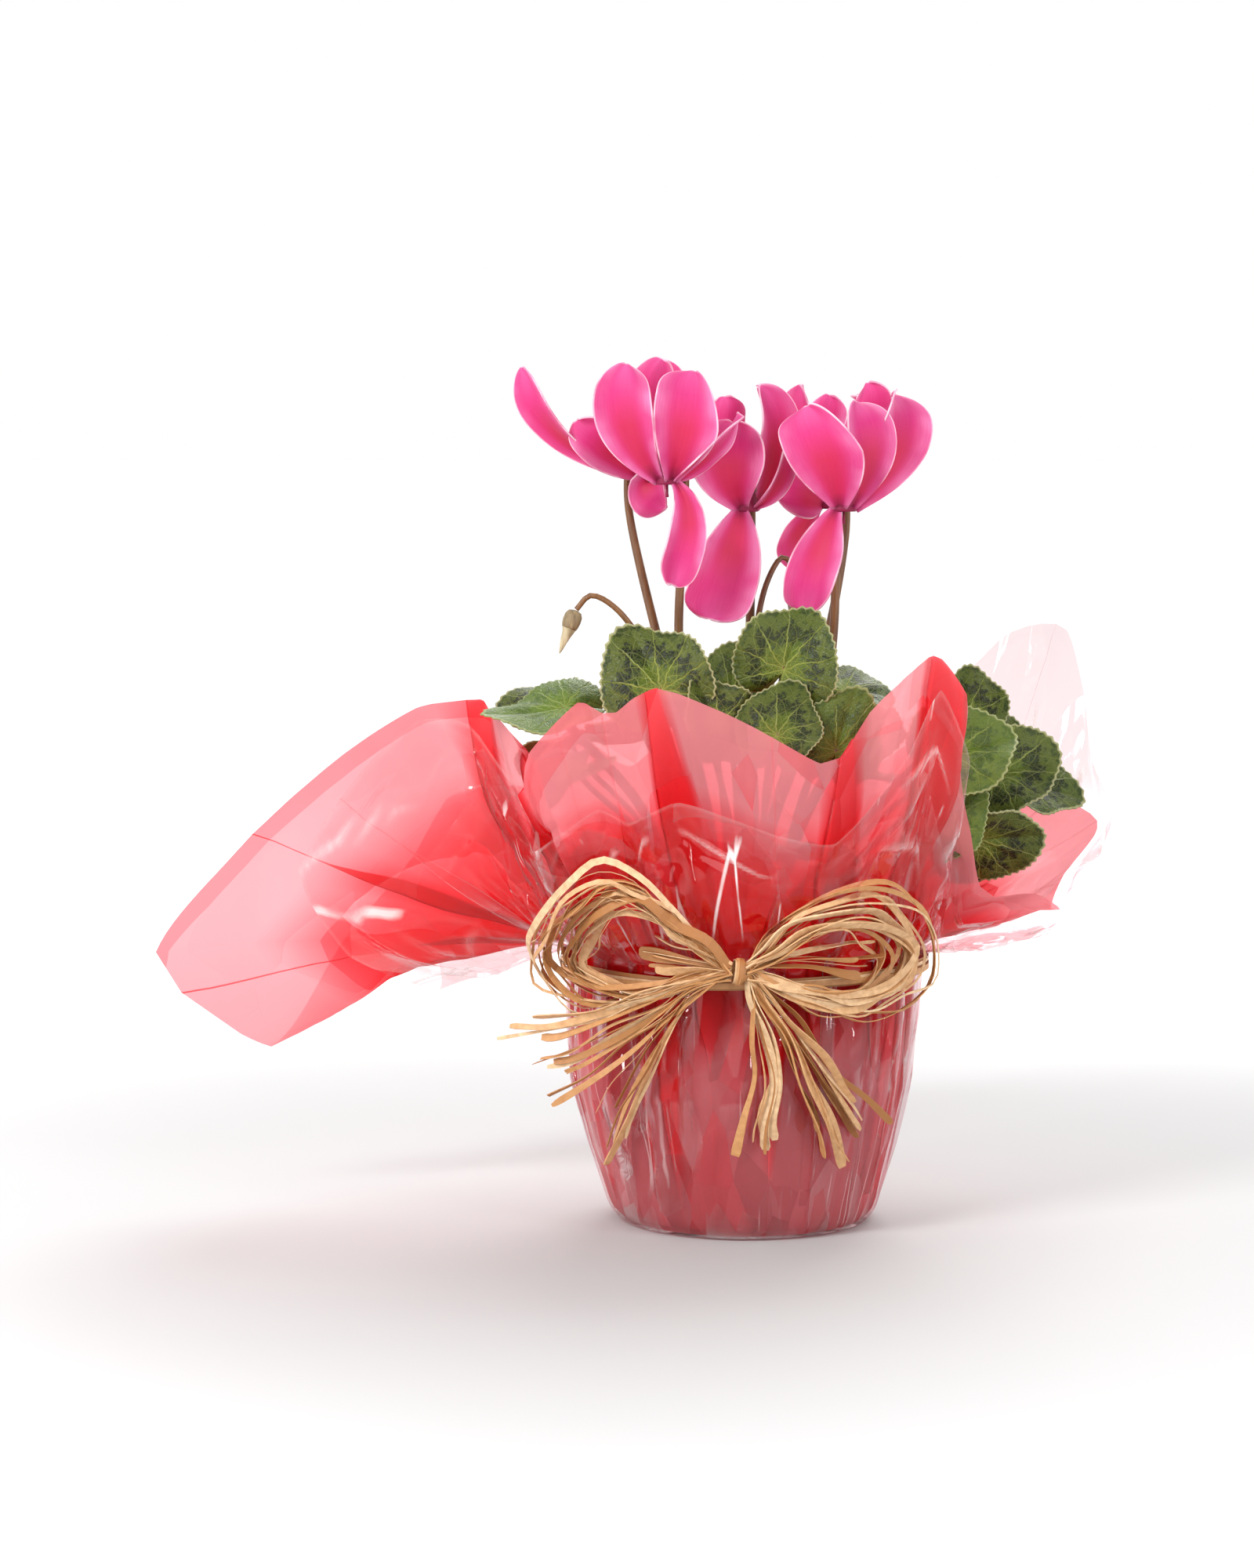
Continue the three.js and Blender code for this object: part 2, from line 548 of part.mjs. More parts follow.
// Where the clear sheet stands taller than the coloured one, behind on the right, by azimuth.
const TALL = new Map([
  [97, vec(118, 8, 112)],
  [104, vec(125, 27, 126)],
  [111, vec(140, 43, 146)],
  [118, vec(133, 56, 163)],
  [126, vec(131, 68, 189)],
  [135, vec(125, 82, 213)],
  [144, vec(106, 92, 211)],
  [153, vec(88, 100, 193)],
  [162, vec(58, 112, 170)],
]);

// The wrapped pot's profile below the tie: share of the neck's radius, height, slack and pleating.
const SKIRT = [
  { share: 0.715, z: FILM_BASE_Z, slack: 0, pleating: 0 },
  { share: 0.765, z: 6, slack: 0.3, pleating: 0 },
  { share: 0.935, z: 52, slack: 1, pleating: 0.6 },
];
const SKIRT_SLACK = 3.5; // how far the film hangs off the pot on the left

/** In and out at every other fold. */
const pleat = (index, depth) => (index % 2 ? -depth : depth);

/** A row of the skirt, pleated more towards the tie. */
const skirtRow = ({ share, z, slack, pleating }) =>
  FOLDS.map(({ azimuth }, index) => {
    const loose = SKIRT_SLACK * slack * Math.max(0, -Math.sin(rad(azimuth)));
    const radius = NECK_R * share + loose + pleat(index, PLEAT_DEPTH * pleating);
    return radial(azimuth).multiplyScalar(radius).setZ(z);
  });

/** A point of the inner sheet on a fold, from the neck out along a bowed line to the free edge. */
function foldPoint({ azimuth, edge }, index, share) {
  const outward = radial(azimuth);
  const neck = outward.clone().multiplyScalar(NECK_R + pleat(index, PLEAT_DEPTH)).setZ(NECK_Z);
  const bow = 0.1 * edge.distanceTo(neck);
  const middle = neck.clone().lerp(edge, 0.5).addScaledVector(outward, bow);
  return new THREE.QuadraticBezierCurve3(neck, middle, edge).getPoint(share);
}

const SHARES = Array.from({ length: RUFFLE_STEPS + 1 }, (_, i) => i / RUFFLE_STEPS);
const innerSheet = [
  ...SKIRT.map(skirtRow),
  ...SHARES.map((share) => FOLDS.map((fold, index) => foldPoint(fold, index, share))),
];
const outwards = gridNormals(innerSheet, true);
outwards[0] = FOLDS.map(({ azimuth }) => radial(azimuth).multiplyScalar(0.6).sub(UP));

/** A value between the rows of a grid, on a fold, at a share of the way up the ruffle. */
function onFold(grid, index, share) {
  const row = share * RUFFLE_STEPS;
  const below = Math.min(Math.floor(row), RUFFLE_STEPS - 1);
  const from = grid[SKIRT.length + below][index];
  return from.clone().lerp(grid[SKIRT.length + below + 1][index], row - below);
}

/** A sheet of film with its round base closed under the pot. */
function filmSolid(inner, outer) {
  const disc = (row) => {
    const hub = vec(0, 0, row[0].z);
    return row.map((p, j) => [hub, row[(j + 1) % row.length], p]);
  };
  return solidOf(
    geometryOfTriangles([
      ...gridFaces(outer, true),
      ...flipped(gridFaces(inner, true)),
      ...rimFaces(inner.at(-1), outer.at(-1), true),
      ...disc(outer[0]),
      ...flipped(disc(inner[0])),
    ]),
  );
}

const buildRedFilm = () => filmSolid(innerSheet, offsetGrid(innerSheet, outwards, FILM));

/** The clear sheet lies on the coloured one and parts from it towards its own edge. */
function buildClearFilm() {
  const skirt = SKIRT.map((_, i) =>
    innerSheet[i].map((p, j) => p.clone().addScaledVector(outwards[i][j], FILM + SHEET_GAP)),
  );
  const ruffle = SHARES.map((step) =>
    FOLDS.map(({ azimuth, clearShare }, index) => {
      const tall = TALL.get(azimuth);
      if (tall && step === 1) return tall.clone();
      const share = tall ? (step * RUFFLE_STEPS) / (RUFFLE_STEPS - 1) : step * clearShare;
      const apart = FILM + SHEET_GAP + SHEET_SPREAD * Math.sqrt(share);
      return onFold(innerSheet, index, share).addScaledVector(onFold(outwards, index, share), apart);
    }),
  );
  const inner = [...skirt, ...ruffle];
  const directions = gridNormals(inner, true);
  directions[0] = outwards[0];
  return filmSolid(inner, offsetGrid(inner, directions, FILM));
}

// ---- Raffia ------------------------------------------------------------------------------------
// Strips of the bow on each side of the knot, as points relative to it. A loop comes back to the knot.
const BOW = {
  left: {
    hub: -KNOT_HUB,
    loops: [
      [[-20, 6, -5], [-39, 14, -13], [-56, 26, -15], [-68, 30, -7], [-71, 26, 3], [-67, 13, 13],
        [-58, -4, 27], [-46, -7, 34], [-36, -6, 31], [-25, -3, 22], [-14, -1, 12]],
      [[-19, 5, -4], [-38, 12, -10], [-53, 22, -8], [-62, 28, -1], [-61, 22, 9], [-56, 4, 21], [-46, -6, 30],
        [-36, -4, 26], [-25, -3, 17], [-14, -1, 9]],
    ],
    ends: [
      [[-14, 3, 3], [-25, 8, 4], [-36, 13, 6]],
      [[-18, 4, -6], [-31, 10, -14], [-46, 18, -24], [-62, 22, -31], [-80, 26, -34]],
      [[-17, 4, -7], [-28, 10, -16], [-42, 18, -27], [-57, 22, -36], [-72, 26, -43]],
      [[-15, 4, -8], [-24, 9, -20], [-32, 17, -35], [-40, 24, -50], [-46, 32, -67]],
    ],
  },
  right: {
    hub: KNOT_HUB,
    loops: [
      [[9, 0, 10], [21, -5, 19], [35, -4, 25], [52, 7, 26], [62, 20, 17], [69, 34, 3], [67, 38, -8],
        [57, 28, -14], [43, 16, -17], [27, 7, -13], [13, 2, -5]],
      [[12, -2, 7], [24, -4, 13], [38, 0, 17], [50, 13, 13], [59, 27, 3], [53, 21, -7], [39, 12, -11],
        [25, 4, -7], [12, 0, -3]],
    ],
    ends: [
      [[12, 1, 4], [24, 4, 5], [39, 12, 4], [52, 21, 4]],
      [[5, 2, -9], [10, 5, -24], [13, 9, -40], [11, 13, -56], [12, 17, -70]],
      [[7, 2, -10], [16, 6, -24], [23, 11, -42], [29, 17, -59], [33, 24, -74]],
      [[9, 2, -7], [19, 7, -19], [31, 14, -36], [42, 23, -52], [52, 33, -66]],
    ],
  },
};

/** A flat strip of raffia along a smooth curve, its broad side to the front. */
function strip(points, steps) {
  const centres = points.map((p) => vec(...KNOT).add(vec(...p)));
  const path = new THREE.CatmullRomCurve3(centres, false, "centripetal");
  const rows = Array.from({ length: steps + 1 }, (_, i) => {
    const tangent = path.getTangent(i / steps);
    const side = vec(0, -1, 0.15).cross(tangent).normalize();
    const front = tangent.clone().cross(side);
    return { centre: path.getPoint(i / steps), side, front };
  });
  const grid = rows.map(({ centre, side, front }) =>
    [1, -1].map((s) =>
      centre
        .clone()
        .addScaledVector(side, (s * FIBRE_WIDTH) / 2)
        .addScaledVector(front, -FIBRE_THICKNESS / 2),
    ),
  );
  return sheetSolid(grid, FIBRE_THICKNESS);
}

/** One side of the bow: its strips gathered at a hub beside the knot. */
function buildBowSide({ hub, loops, ends }) {
  const side = Math.sign(hub);
  const first = [hub, -0.6 * side, 1.3 * side];
  const last = [hub, 0.6 * side, -1.3 * side];
  const gathered = new THREE.SphereGeometry(HUB_R, 8, 6).translate(KNOT[0] + hub, KNOT[1], KNOT[2]);
  return join([
    solidOf(gathered),
    ...loops.map((points) => strip([first, ...points, last], 13)),
    ...ends.map((points) => strip([[hub, 0, 0], ...points], 5)),
  ]);
}

function buildTie() {
  const inner = NECK_R + PLEAT_DEPTH + 2 * FILM + SHEET_GAP + 2 * GAP;
  return solidOf(
    turned(
      [
        [inner, -TIE_HALF_HEIGHT],
        [inner + 1.8, -TIE_HALF_HEIGHT * 0.7],
        [inner + 1.8, TIE_HALF_HEIGHT * 0.7],
        [inner, TIE_HALF_HEIGHT],
        [inner, -TIE_HALF_HEIGHT],
      ],
      36,
    ).translate(0, 0, TIE_Z),
  );
}

const buildKnot = () =>
  solidOf(new THREE.SphereGeometry(1, 10, 6).scale(...KNOT_HALF_SIZE).translate(...KNOT));

// ---- The whole plant ---------------------------------------------------------------------------
const group = new THREE.Group();

function place(name, solid, material) {
  const mesh = new THREE.Mesh(geometryOf(solid), material);
  mesh.name = name;
  group.add(mesh);
}

place("pot", buildPot(), MATERIALS.pot);
place("soil", buildSoil(), MATERIALS.soil);

LEAVES.forEach((leaf, index) => {
  const petiole = stem(petiolePoints(leaf), PETIOLE_R, 4, 6);
  const name = `leaf_${String(index + 1).padStart(2, "0")}`;
  place(name, join([buildBlade(leaf, index), petiole]), MATERIALS.leaf);
});
BLOOMS.forEach((bloom) => {
  place(`stalk_${bloom.name}`, buildStalk(bloom), MATERIALS.stalk);
  place(`bloom_${bloom.name}`, buildCorolla(bloom), MATERIALS.petal);
});
BUDS.forEach((bud) => {
  place(`bud_stalk_${bud.name}`, stem(budStalkPoints(bud), STALK_R * 0.75, 5, 14), MATERIALS.stalk);
  place(`bud_${bud.name}`, buildBud(bud.bud), MATERIALS.bud);
});
place("corm", solidOf(cormGeometry(0)).subtract(join(holes)), MATERIALS.corm);

place("film_red", buildRedFilm(), MATERIALS.redFilm);
place("film_clear", buildClearFilm(), MATERIALS.clearFilm);
place("raffia_tie", buildTie(), MATERIALS.raffia);
place("raffia_knot", buildKnot(), MATERIALS.raffia);
place("raffia_left", buildBowSide(BOW.left), MATERIALS.raffia);
place("raffia_right", buildBowSide(BOW.right), MATERIALS.raffia);

export default group;
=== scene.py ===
"""A florist's cyclamen in its growing pot, gift-wrapped in two films and tied with a raffia bow.

The plant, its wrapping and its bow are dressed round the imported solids. Tables and fields hold
millimetres in the part's own frame: +Z is up, the front is towards -Y, and an azimuth of 0 is the
front and 90 the right. Meshes are made in metres.
"""

from __future__ import annotations

import logging
import math
from collections.abc import Callable
from dataclasses import dataclass, field
from enum import Enum

import bpy
import numpy as np
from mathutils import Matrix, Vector

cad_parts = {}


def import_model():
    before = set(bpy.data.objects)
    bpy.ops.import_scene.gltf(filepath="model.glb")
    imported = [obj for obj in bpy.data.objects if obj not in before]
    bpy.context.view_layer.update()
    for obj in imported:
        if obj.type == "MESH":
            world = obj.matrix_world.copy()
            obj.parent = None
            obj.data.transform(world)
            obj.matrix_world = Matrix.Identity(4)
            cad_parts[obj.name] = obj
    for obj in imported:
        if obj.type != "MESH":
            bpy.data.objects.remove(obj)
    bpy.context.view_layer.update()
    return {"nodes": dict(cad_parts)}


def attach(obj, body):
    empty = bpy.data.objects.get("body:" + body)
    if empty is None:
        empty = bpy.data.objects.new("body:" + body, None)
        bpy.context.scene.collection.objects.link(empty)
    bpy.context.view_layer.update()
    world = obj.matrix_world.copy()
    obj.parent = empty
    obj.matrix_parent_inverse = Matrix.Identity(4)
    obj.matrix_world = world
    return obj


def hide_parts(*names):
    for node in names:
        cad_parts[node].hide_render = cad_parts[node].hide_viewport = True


MM = 0.001
BODY = "root"
LOG = logging.getLogger("cyclamen")
Array = np.ndarray
Socket = bpy.types.NodeSocket
Adder = Callable[..., Socket]
Point = tuple[float, float, float]
# Settings that many nodes share: a climb with soft ends, and a mix of two colours.
SMOOTH = {"interpolation_type": "SMOOTHSTEP"}
MIX = {"out": 2, "data_type": "RGBA"}


# ---- Vectors and curves ----
def unit(vectors: Array) -> Array:
    """The vectors at length one."""
    return vectors / np.maximum(np.linalg.norm(vectors, axis=-1, keepdims=True), 1e-9)


def radial(azimuth: Array | float) -> Array:
    """The horizontal directions at azimuths in degrees."""
    turn = np.radians(azimuth)
    return np.stack([np.sin(turn), -np.cos(turn), np.zeros_like(turn)], axis=-1)


def smoothstep(low: float | Array, high: float, value: Array) -> Array:
    """A smooth climb from 0 at low to 1 at high."""
    t = np.clip((value - low) / (high - low), 0, 1)
    return t * t * (3 - 2 * t)


def smooth_path(points: list, count: int) -> Array:
    """Evenly spaced points on the smooth curve through the given ones.

    Args:
        points: the points that the curve passes, in order.
        count: how many points to return.

    Returns:
        An array of count points.
    """
    p = np.array(points, float)
    p = np.vstack([2 * p[0] - p[1], p, 2 * p[-1] - p[-2]])
    knots = np.linalg.norm(np.diff(p, axis=0), axis=1) ** 0.5
    t = np.linspace(0, 1, 24, endpoint=False)[:, None]
    stretches = []
    for k in range(1, len(p) - 2):
        before, here, after = knots[k - 1 : k + 2]
        a, b, c, d = p[k - 1 : k + 3]
        leave = ((b - a) / before - (c - a) / (before + here) + (c - b) / here) * here
        reach = ((c - b) / here - (d - b) / (here + after) + (d - c) / after) * here
        bend = 3 * (c - b) - 2 * leave - reach
        stretches.append(b + t * leave + t**2 * bend + t**3 * (2 * (b - c) + leave + reach))
    fine = np.vstack([*stretches, p[-2]])
    walked = np.r_[0, np.cumsum(np.linalg.norm(np.diff(fine, axis=0), axis=1))]
    steps = np.linspace(0, walked[-1], count)
    return np.stack([np.interp(steps, walked, fine[:, i]) for i in range(3)], axis=1)


# ---- Meshes ----
@dataclass
class Surface:
    """Points in millimetres with their faces, pattern coordinates, traits and finish slots."""

    points: Array  # an array of points
    faces: list  # lists of point numbers, turning left as seen from outside
    uv: Array  # pattern coordinates of each point
    # Named numbers of each point, which the finishes read.
    traits: dict[str, Array] = field(default_factory=dict)
    slots: list[int] = field(default_factory=list)  # the finish slot of each face

    @staticmethod
    def joined(parts: list[Surface]) -> Surface:
        """Makes several surfaces one.

        Args:
            parts: the surfaces.

        Returns:
            The whole, with the traits that all parts have.
        """
        start = np.cumsum([0] + [len(part.points) for part in parts])
        shared = set(parts[0].traits).intersection(*(part.traits for part in parts))
        return Surface(
            np.vstack([part.points for part in parts]),
            [[i + first for i in face] for part, first in zip(parts, start) for face in part.faces],
            np.vstack([part.uv for part in parts]),
            {name: np.concatenate([part.traits[name] for part in parts]) for name in sorted(shared)},
            [slot for part in parts for slot in (part.slots or [0] * len(part.faces))],
        )

    def mesh(self, name: str) -> bpy.types.Mesh:
        """Makes a smooth mesh in metres.

        Args:
            name: the mesh's name.

        Returns:
            The mesh, with a UV map and an attribute for each trait.
        """
        mesh = bpy.data.meshes.new(name)
        mesh.from_pydata((self.points * MM).tolist(), [], self.faces)
        corner = np.empty(len(mesh.loops), np.int32)
        mesh.loops.foreach_get("vertex_index", corner)
        mesh.uv_layers.new(name="UVMap").uv.foreach_set("vector", self.uv[corner].ravel())
        for trait, values in self.traits.items():
            attribute = mesh.attributes.new(trait, "FLOAT", "POINT")
            attribute.data.foreach_set("value", values.astype(np.float32))
        if self.slots:
            mesh.polygons.foreach_set("material_index", self.slots)
        mesh.shade_smooth()
        return mesh


def grid_faces(rows: int, columns: int, closed: bool = False) -> Array:
    """The quads of a grid of points that goes up by rows and to the right by columns.

    Args:
        rows: how many rows.
        columns: how many points in a row.
        closed: whether the last column meets the first.

    Returns:
        Four point numbers for each quad.
    """
    low = np.arange(rows - 1)[:, None] * columns
    left = np.arange(columns if closed else columns - 1)[None, :]
    right = (left + 1) % columns
    quads = [low + left, low + right, low + columns + right, low + columns + left]
    return np.stack(quads, axis=-1).reshape(-1, 4)


def thick_sheet(grid: Array, thickness: float, uv: Array, traits: dict) -> Surface:
    """A closed thin body round an open grid.

    Args:
        grid: rows of points.
        thickness: the distance from its front to its back.
        uv: pattern coordinates of the grid.
        traits: named numbers of the grid.

    Returns:
        The closed surface, its front on the side from which the grid goes up and to the right.
    """
    rows, columns = grid.shape[:2]
    count = rows * columns
    normals = unit(np.cross(np.gradient(grid, axis=1), np.gradient(grid, axis=0))) * thickness / 2
    front = grid_faces(rows, columns)
    number = np.arange(count).reshape(rows, columns)
    rims = []
    for edge in (number[0, ::-1], number[-1], number[:, 0], number[::-1, -1]):
        rims.append(np.stack([edge[:-1], edge[1:], edge[1:] + count, edge[:-1] + count], axis=-1))
    faces = np.vstack([front, front[:, ::-1] + count, *rims])
    return Surface(
        np.vstack([(grid + normals).reshape(-1, 3), (grid - normals).reshape(-1, 3)]),
        faces.tolist(),
        np.vstack([uv.reshape(-1, 2)] * 2),
        {name: np.tile(values.ravel(), 2) for name, values in traits.items()},
    )


def turned(
    profile: list[tuple[float, float]],
    segments: int,
    centre: Array | Point = (0.0, 0.0, 0.0),
    axis: Array | Point = (0.0, 0.0, 1.0),
) -> Surface:
    """A body turned round an axis, closed at both ends.

    Args:
        profile: (radius, distance along the axis) pairs from end to end, without the poles.
        segments: how many sides it has.
        centre: where the axis starts.
        axis: its direction.

    Returns:
        The closed surface.
    """
    axis = unit(np.array(axis, float))
    side = unit(np.cross(axis, [0.31, 0.87, 0.38]))
    other = np.cross(axis, side)
    turn = np.linspace(0, 2 * np.pi, segments, endpoint=False)
    ring = np.cos(turn)[:, None] * side + np.sin(turn)[:, None] * other
    rows = [centre + r * ring + h * axis for r, h in profile]
    poles = [centre + profile[0][1] * axis, centre + profile[-1][1] * axis]
    points = np.vstack([*rows, poles])
    quads = grid_faces(len(rows), segments, closed=True).tolist()
    first, last = len(points) - 2, len(points) - 1
    top = (len(rows) - 1) * segments
    caps = [[first, (k + 1) % segments, k] for k in range(segments)]
    caps += [[last, top + k, top + (k + 1) % segments] for k in range(segments)]
    along = np.repeat(np.linspace(0, 1, len(rows)), segments)
    uv = np.stack([np.tile(turn / (2 * np.pi), len(rows)), along], axis=-1)
    return Surface(points, quads + caps, np.vstack([uv, [[0.5, 0], [0.5, 1]]]))


# ---- Finishes ----
def colour(code: str) -> tuple[float, float, float, float]:
    """Turns an sRGB hex code into a linear colour.

    Args:
        code: "#" and six hex digits.

    Returns:
        The linear red, green and blue, and a full alpha.
    """
    parts = [int(code[i : i + 2], 16) / 255 for i in (1, 3, 5)]
    linear = [c / 12.92 if c <= 0.04045 else ((c + 0.055) / 1.055) ** 2.4 for c in parts]
    return (*linear, 1.0)


def per_size(size: float) -> float:
    """The texture scale that draws features of about this size in millimetres."""
    return 1 / MM / size


def adder(tree: bpy.types.NodeTree) -> Adder:
    """The function that adds nodes to a tree.

    Args:
        tree: the tree.

    Returns:
        The function add().
    """

    def add(kind: str, inputs: dict | tuple = (), out: str | int = 0, **settings: object) -> Socket | None:
        """Adds one node with its settings and links.

        Args:
            kind: the node's type, for a shader's without "ShaderNode", and its operation.
            inputs: values, hex colours or sockets, in order or by the input's name or number.
            out: which output to return; the others hang on its node.
            settings: the node's properties; stops are the (place, hex colour) pairs of a colour ramp.

        Returns:
            The output, or None where the node has none.
        """
        kind, _, operation = kind.partition(" ")
        node = tree.nodes.new(kind if "Node" in kind else f"ShaderNode{kind}")
        stops = settings.pop("stops", [])
        for name, value in {**settings, **({"operation": operation} if operation else {})}.items():
            setattr(node, name, value)
        for index, (place, code) in enumerate(stops):
            elements = node.color_ramp.elements
            if index == 0:
                elements.remove(elements[1])
                elements[0].position, elements[0].color = place, colour(code)
            else:
                elements.new(place).color = colour(code)
        for name, value in inputs.items() if isinstance(inputs, dict) else enumerate(inputs):
            if isinstance(value, Socket):
                tree.links.new(value, node.inputs[name])
            elif isinstance(value, str) and value.startswith("#"):
                node.inputs[name].default_value = colour(value)
            else:
                node.inputs[name].default_value = value
        return node.outputs[out] if node.outputs else None

    return add


@dataclass(frozen=True)
class Finish:
    """What a surface is made of. Each finish builds its material in shade()."""

    name: str

    def material(self) -> bpy.types.Material:
        """Makes the finish's material, once.

        Returns:
            The material.
        """
        if self.name not in bpy.data.materials:
            material = bpy.data.materials.new(self.name)
            material.use_nodes = True
            material.node_tree.nodes.clear()
            add = adder(material.node_tree)
            add("OutputMaterial", (self.shade(add),))
        return bpy.data.materials[self.name]

    def shade(self, add: Adder) -> Socket:
        """Builds the finish and returns its shader."""
        raise NotImplementedError

    def living(self, add: Adder, through: float, skin: dict) -> Socket:
        """A thin skin that shines on its face, and glows by the share of light that passes through."""
        glow = add("BsdfTranslucent", {"Color": skin["Base Color"]})
        return add("MixShader", (through, add("BsdfPrincipled", skin), glow))


@dataclass(frozen=True)
class Facets:
    """The flats of a crumpled sheet and painted highlight lines along its creases, which run out of the neck
    and widen to the free edge.
    """

    size: float  # how wide the flats are where the sheet's radius is the girth's
    tilt: float  # how steep they are
    rows: float = 140.0  # the sheet's whole height in the pattern: the smaller, the longer the flats
    crease: float = 15.0
    crease_rows: float = 22.0  # the sheet's whole height in the creases' pattern
    girth: float = 100.0  # the radius where these widths are true
    patch: float = 30.0  # how wide the patches are where the painted crease highlights show

    def place(self, add: Adder, rows: float) -> Socket:
        """Places on a tube of the girth's radius, so that the pattern has no seam.

        Args:
            add: adds a node.
            rows: the sheet's whole height in the pattern.

        Returns:
            The places.
        """
        spot = add("TexCoord", out="Object")
        flat = add("VectorMath MULTIPLY", (spot, (1.0, 1.0, 0.0)))
        way = add("VectorMath NORMALIZE", (flat,))
        ring = add("VectorMath SCALE", {0: way, "Scale": self.girth * MM})
        climb = add("SeparateXYZ", (add("UVMap"),), out="Y")
        height = add("Math MULTIPLY", (climb, rows * MM))
        rise = add("CombineXYZ", {"Z": height})
        return add("VectorMath ADD", (ring, rise))

    def flats(self, add: Adder) -> tuple[Socket, Socket]:
        """Tilts each flat its own way.

        Args:
            add: adds a node.

        Returns:
            The normal, and a number for each flat.
        """
        spot = self.place(add, self.rows)
        cell = add("TexVoronoi", {"Vector": spot, "Scale": per_size(self.size)}).node.outputs
        lean = add("VectorMath SUBTRACT", (cell["Color"], (0.5, 0.5, 0.5)))
        middle = add("VectorMath SUBTRACT", (spot, cell["Position"]))
        rise = add("VectorMath DOT_PRODUCT", (lean, middle), "Value")
        normal = add("Bump", {"Strength": 1.0, "Distance": self.tilt, "Height": rise})
        return normal, add("SeparateXYZ", (cell["Color"],))

    def creases(self, add: Adder) -> Socket:
        """Painted highlights: sharp lines along the folds, shown only in the patches where the light is taken
        to catch them.

        Args:
            add: adds a node.

        Returns:
            A number that is 1 on a line and 0 beside it.
        """
        grid = {"Vector": self.place(add, self.crease_rows), "Scale": per_size(self.crease)}
        away = add("TexVoronoi", grid, feature="DISTANCE_TO_EDGE")
        line = add("MapRange", (away, 0.01, 0.035, 1.0, 0.0))
        spot = add("TexCoord", out="Object")
        light = add("TexNoise", {"Vector": spot, "Scale": per_size(self.patch)})
        lit = add("MapRange", (light, 0.55, 0.66))
        return add("Math MULTIPLY", (line, lit))


@dataclass(frozen=True)
class FrostedFilm(Finish):
    """Red polypropylene film, cast frosted: light passes pink, and each further layer deepens to red."""

    name: str = "frosted_red_polypropylene"
    body: str = "#F8949B"
    passed: str = "#FFBCC0"  # the colour of the light that passes it
    layers: float = 3.5  # how many more layers the gathers at the neck add; the same deepening paints shade under the tie
    cover: tuple[float, float] = (0.72, 0.87)  # how much of the light one layer scatters, and the gathers
    flat: float = 19.0
    uneven: float = 0.36  # how much the flats differ in depth
    through: float = 0.52  # the share of the scattered light that leaves on the far side

    def shade(self, add: Adder) -> Socket:
        """A veil that scatters light both ways over a clear tint, redder and darker where the film is
        gathered at the tie: more layers there, and painted shade.

        Args:
            add: adds a node.

        Returns:
            The shader.
        """
        normal, number = Facets(self.flat, 0.7).flats(add)
        apart = add("Math SUBTRACT", (number, 0.5))
        layered = add("Math MULTIPLY", (apart, self.uneven))
        # The trait read here deepens the colour near the tie, for plies that the sheet doesn't model and as
        # painted shade under the tie.
        gather = add("Attribute", out="Fac", attribute_name="gather")
        gathered = add("Math ADD", (gather, layered))
        near_neck = add("MapRange", (gathered, 0.05, 1.0, 0.0, 0.95))
        depth = add("MapRange", (near_neck, 0.0, 1.0, 1.0, 1 + self.layers))
        body, passed = (add("Gamma", (tint, depth)) for tint in (self.body, self.passed))
        gloss = {"Roughness": 0.24, "IOR": 1.49, "Specular IOR Level": 0.25}
        skin = add("BsdfPrincipled", {"Base Color": body, "Normal": normal, **gloss})
        glow = add("BsdfTranslucent", {"Color": body, "Normal": normal})
        veil = add("MixShader", (self.through, skin, glow))
        clear = add("BsdfTransparent", (passed,))
        cover = add("MapRange", (near_neck, 0.0, 1.0, *self.cover))
        return add("MixShader", (cover, clear, veil))


@dataclass(frozen=True)
class Cellophane(Finish):
    """Clear cellulose film, cast glossy: highlights on its flats, painted highlights on its creases, and a
    faint haze.
    """

    name: str = "clear_cellophane"
    sheet: str = "#FAE8EA"
    haze: str = "#E4D0CE"  # the colour of the haze that some flats have
    streak: str = "#FFF6F4"  # the colour of the painted highlights along its creases and cut edge
    flat: float = 16.0
    shine: tuple[float, float] = (0.03, 0.55)  # how much it mirrors when seen face on, and edge on

    def shade(self, add: Adder) -> Socket:
        """A mirror sheen that grows towards grazing angles, over a clear sheet with haze on some flats and
        painted white highlights along its creases and cut edge.

        Args:
            add: adds a node.

        Returns:
            The shader.
        """
        facets = Facets(self.flat, 0.8)
        normal, number = facets.flats(add)
        facing = add("LayerWeight", {"Blend": 0.5, "Normal": normal}, "Facing")
        grazing = add("Math POWER", (facing, 3.0))
        shine = add("MapRange", (grazing, 0.0, 1.0, *self.shine))
        polish = {"Base Color": "#FFFFFF", "Metallic": 1.0, "Roughness": 0.06, "Normal": normal}
        mirror = add("BsdfPrincipled", polish)
        sheet = add("BsdfTransparent", (self.sheet,))
        dust = add("BsdfTranslucent", (self.haze,))
        cover = add("MapRange", (number, 0.62, 1.0, 0.005, 0.34))
        hazed = add("MixShader", (cover, sheet, dust))
        # Painted highlights: near-white lines on the crests of high creases, on the cut edge and in lit
        # patches of the crease pattern, fainter towards the tie and on the skirt.
        white = add("BsdfDiffuse", (self.streak,))
        crest = add("Attribute", out="Fac", attribute_name="crest")
        faint = add("Math MULTIPLY", (crest, 0.4))
        sharp = add("Math MAXIMUM", (faint, facets.creases(add)))
        climb = add("SeparateXYZ", (add("UVMap"),), "Y")
        loose = add("MapRange", (climb, 0.55, 0.85, 0.22, 0.8))
        streak = add("Math MULTIPLY", (sharp, loose))
        body = add("MixShader", (streak, hazed, white))
        return add("MixShader", (shine, body, mirror))


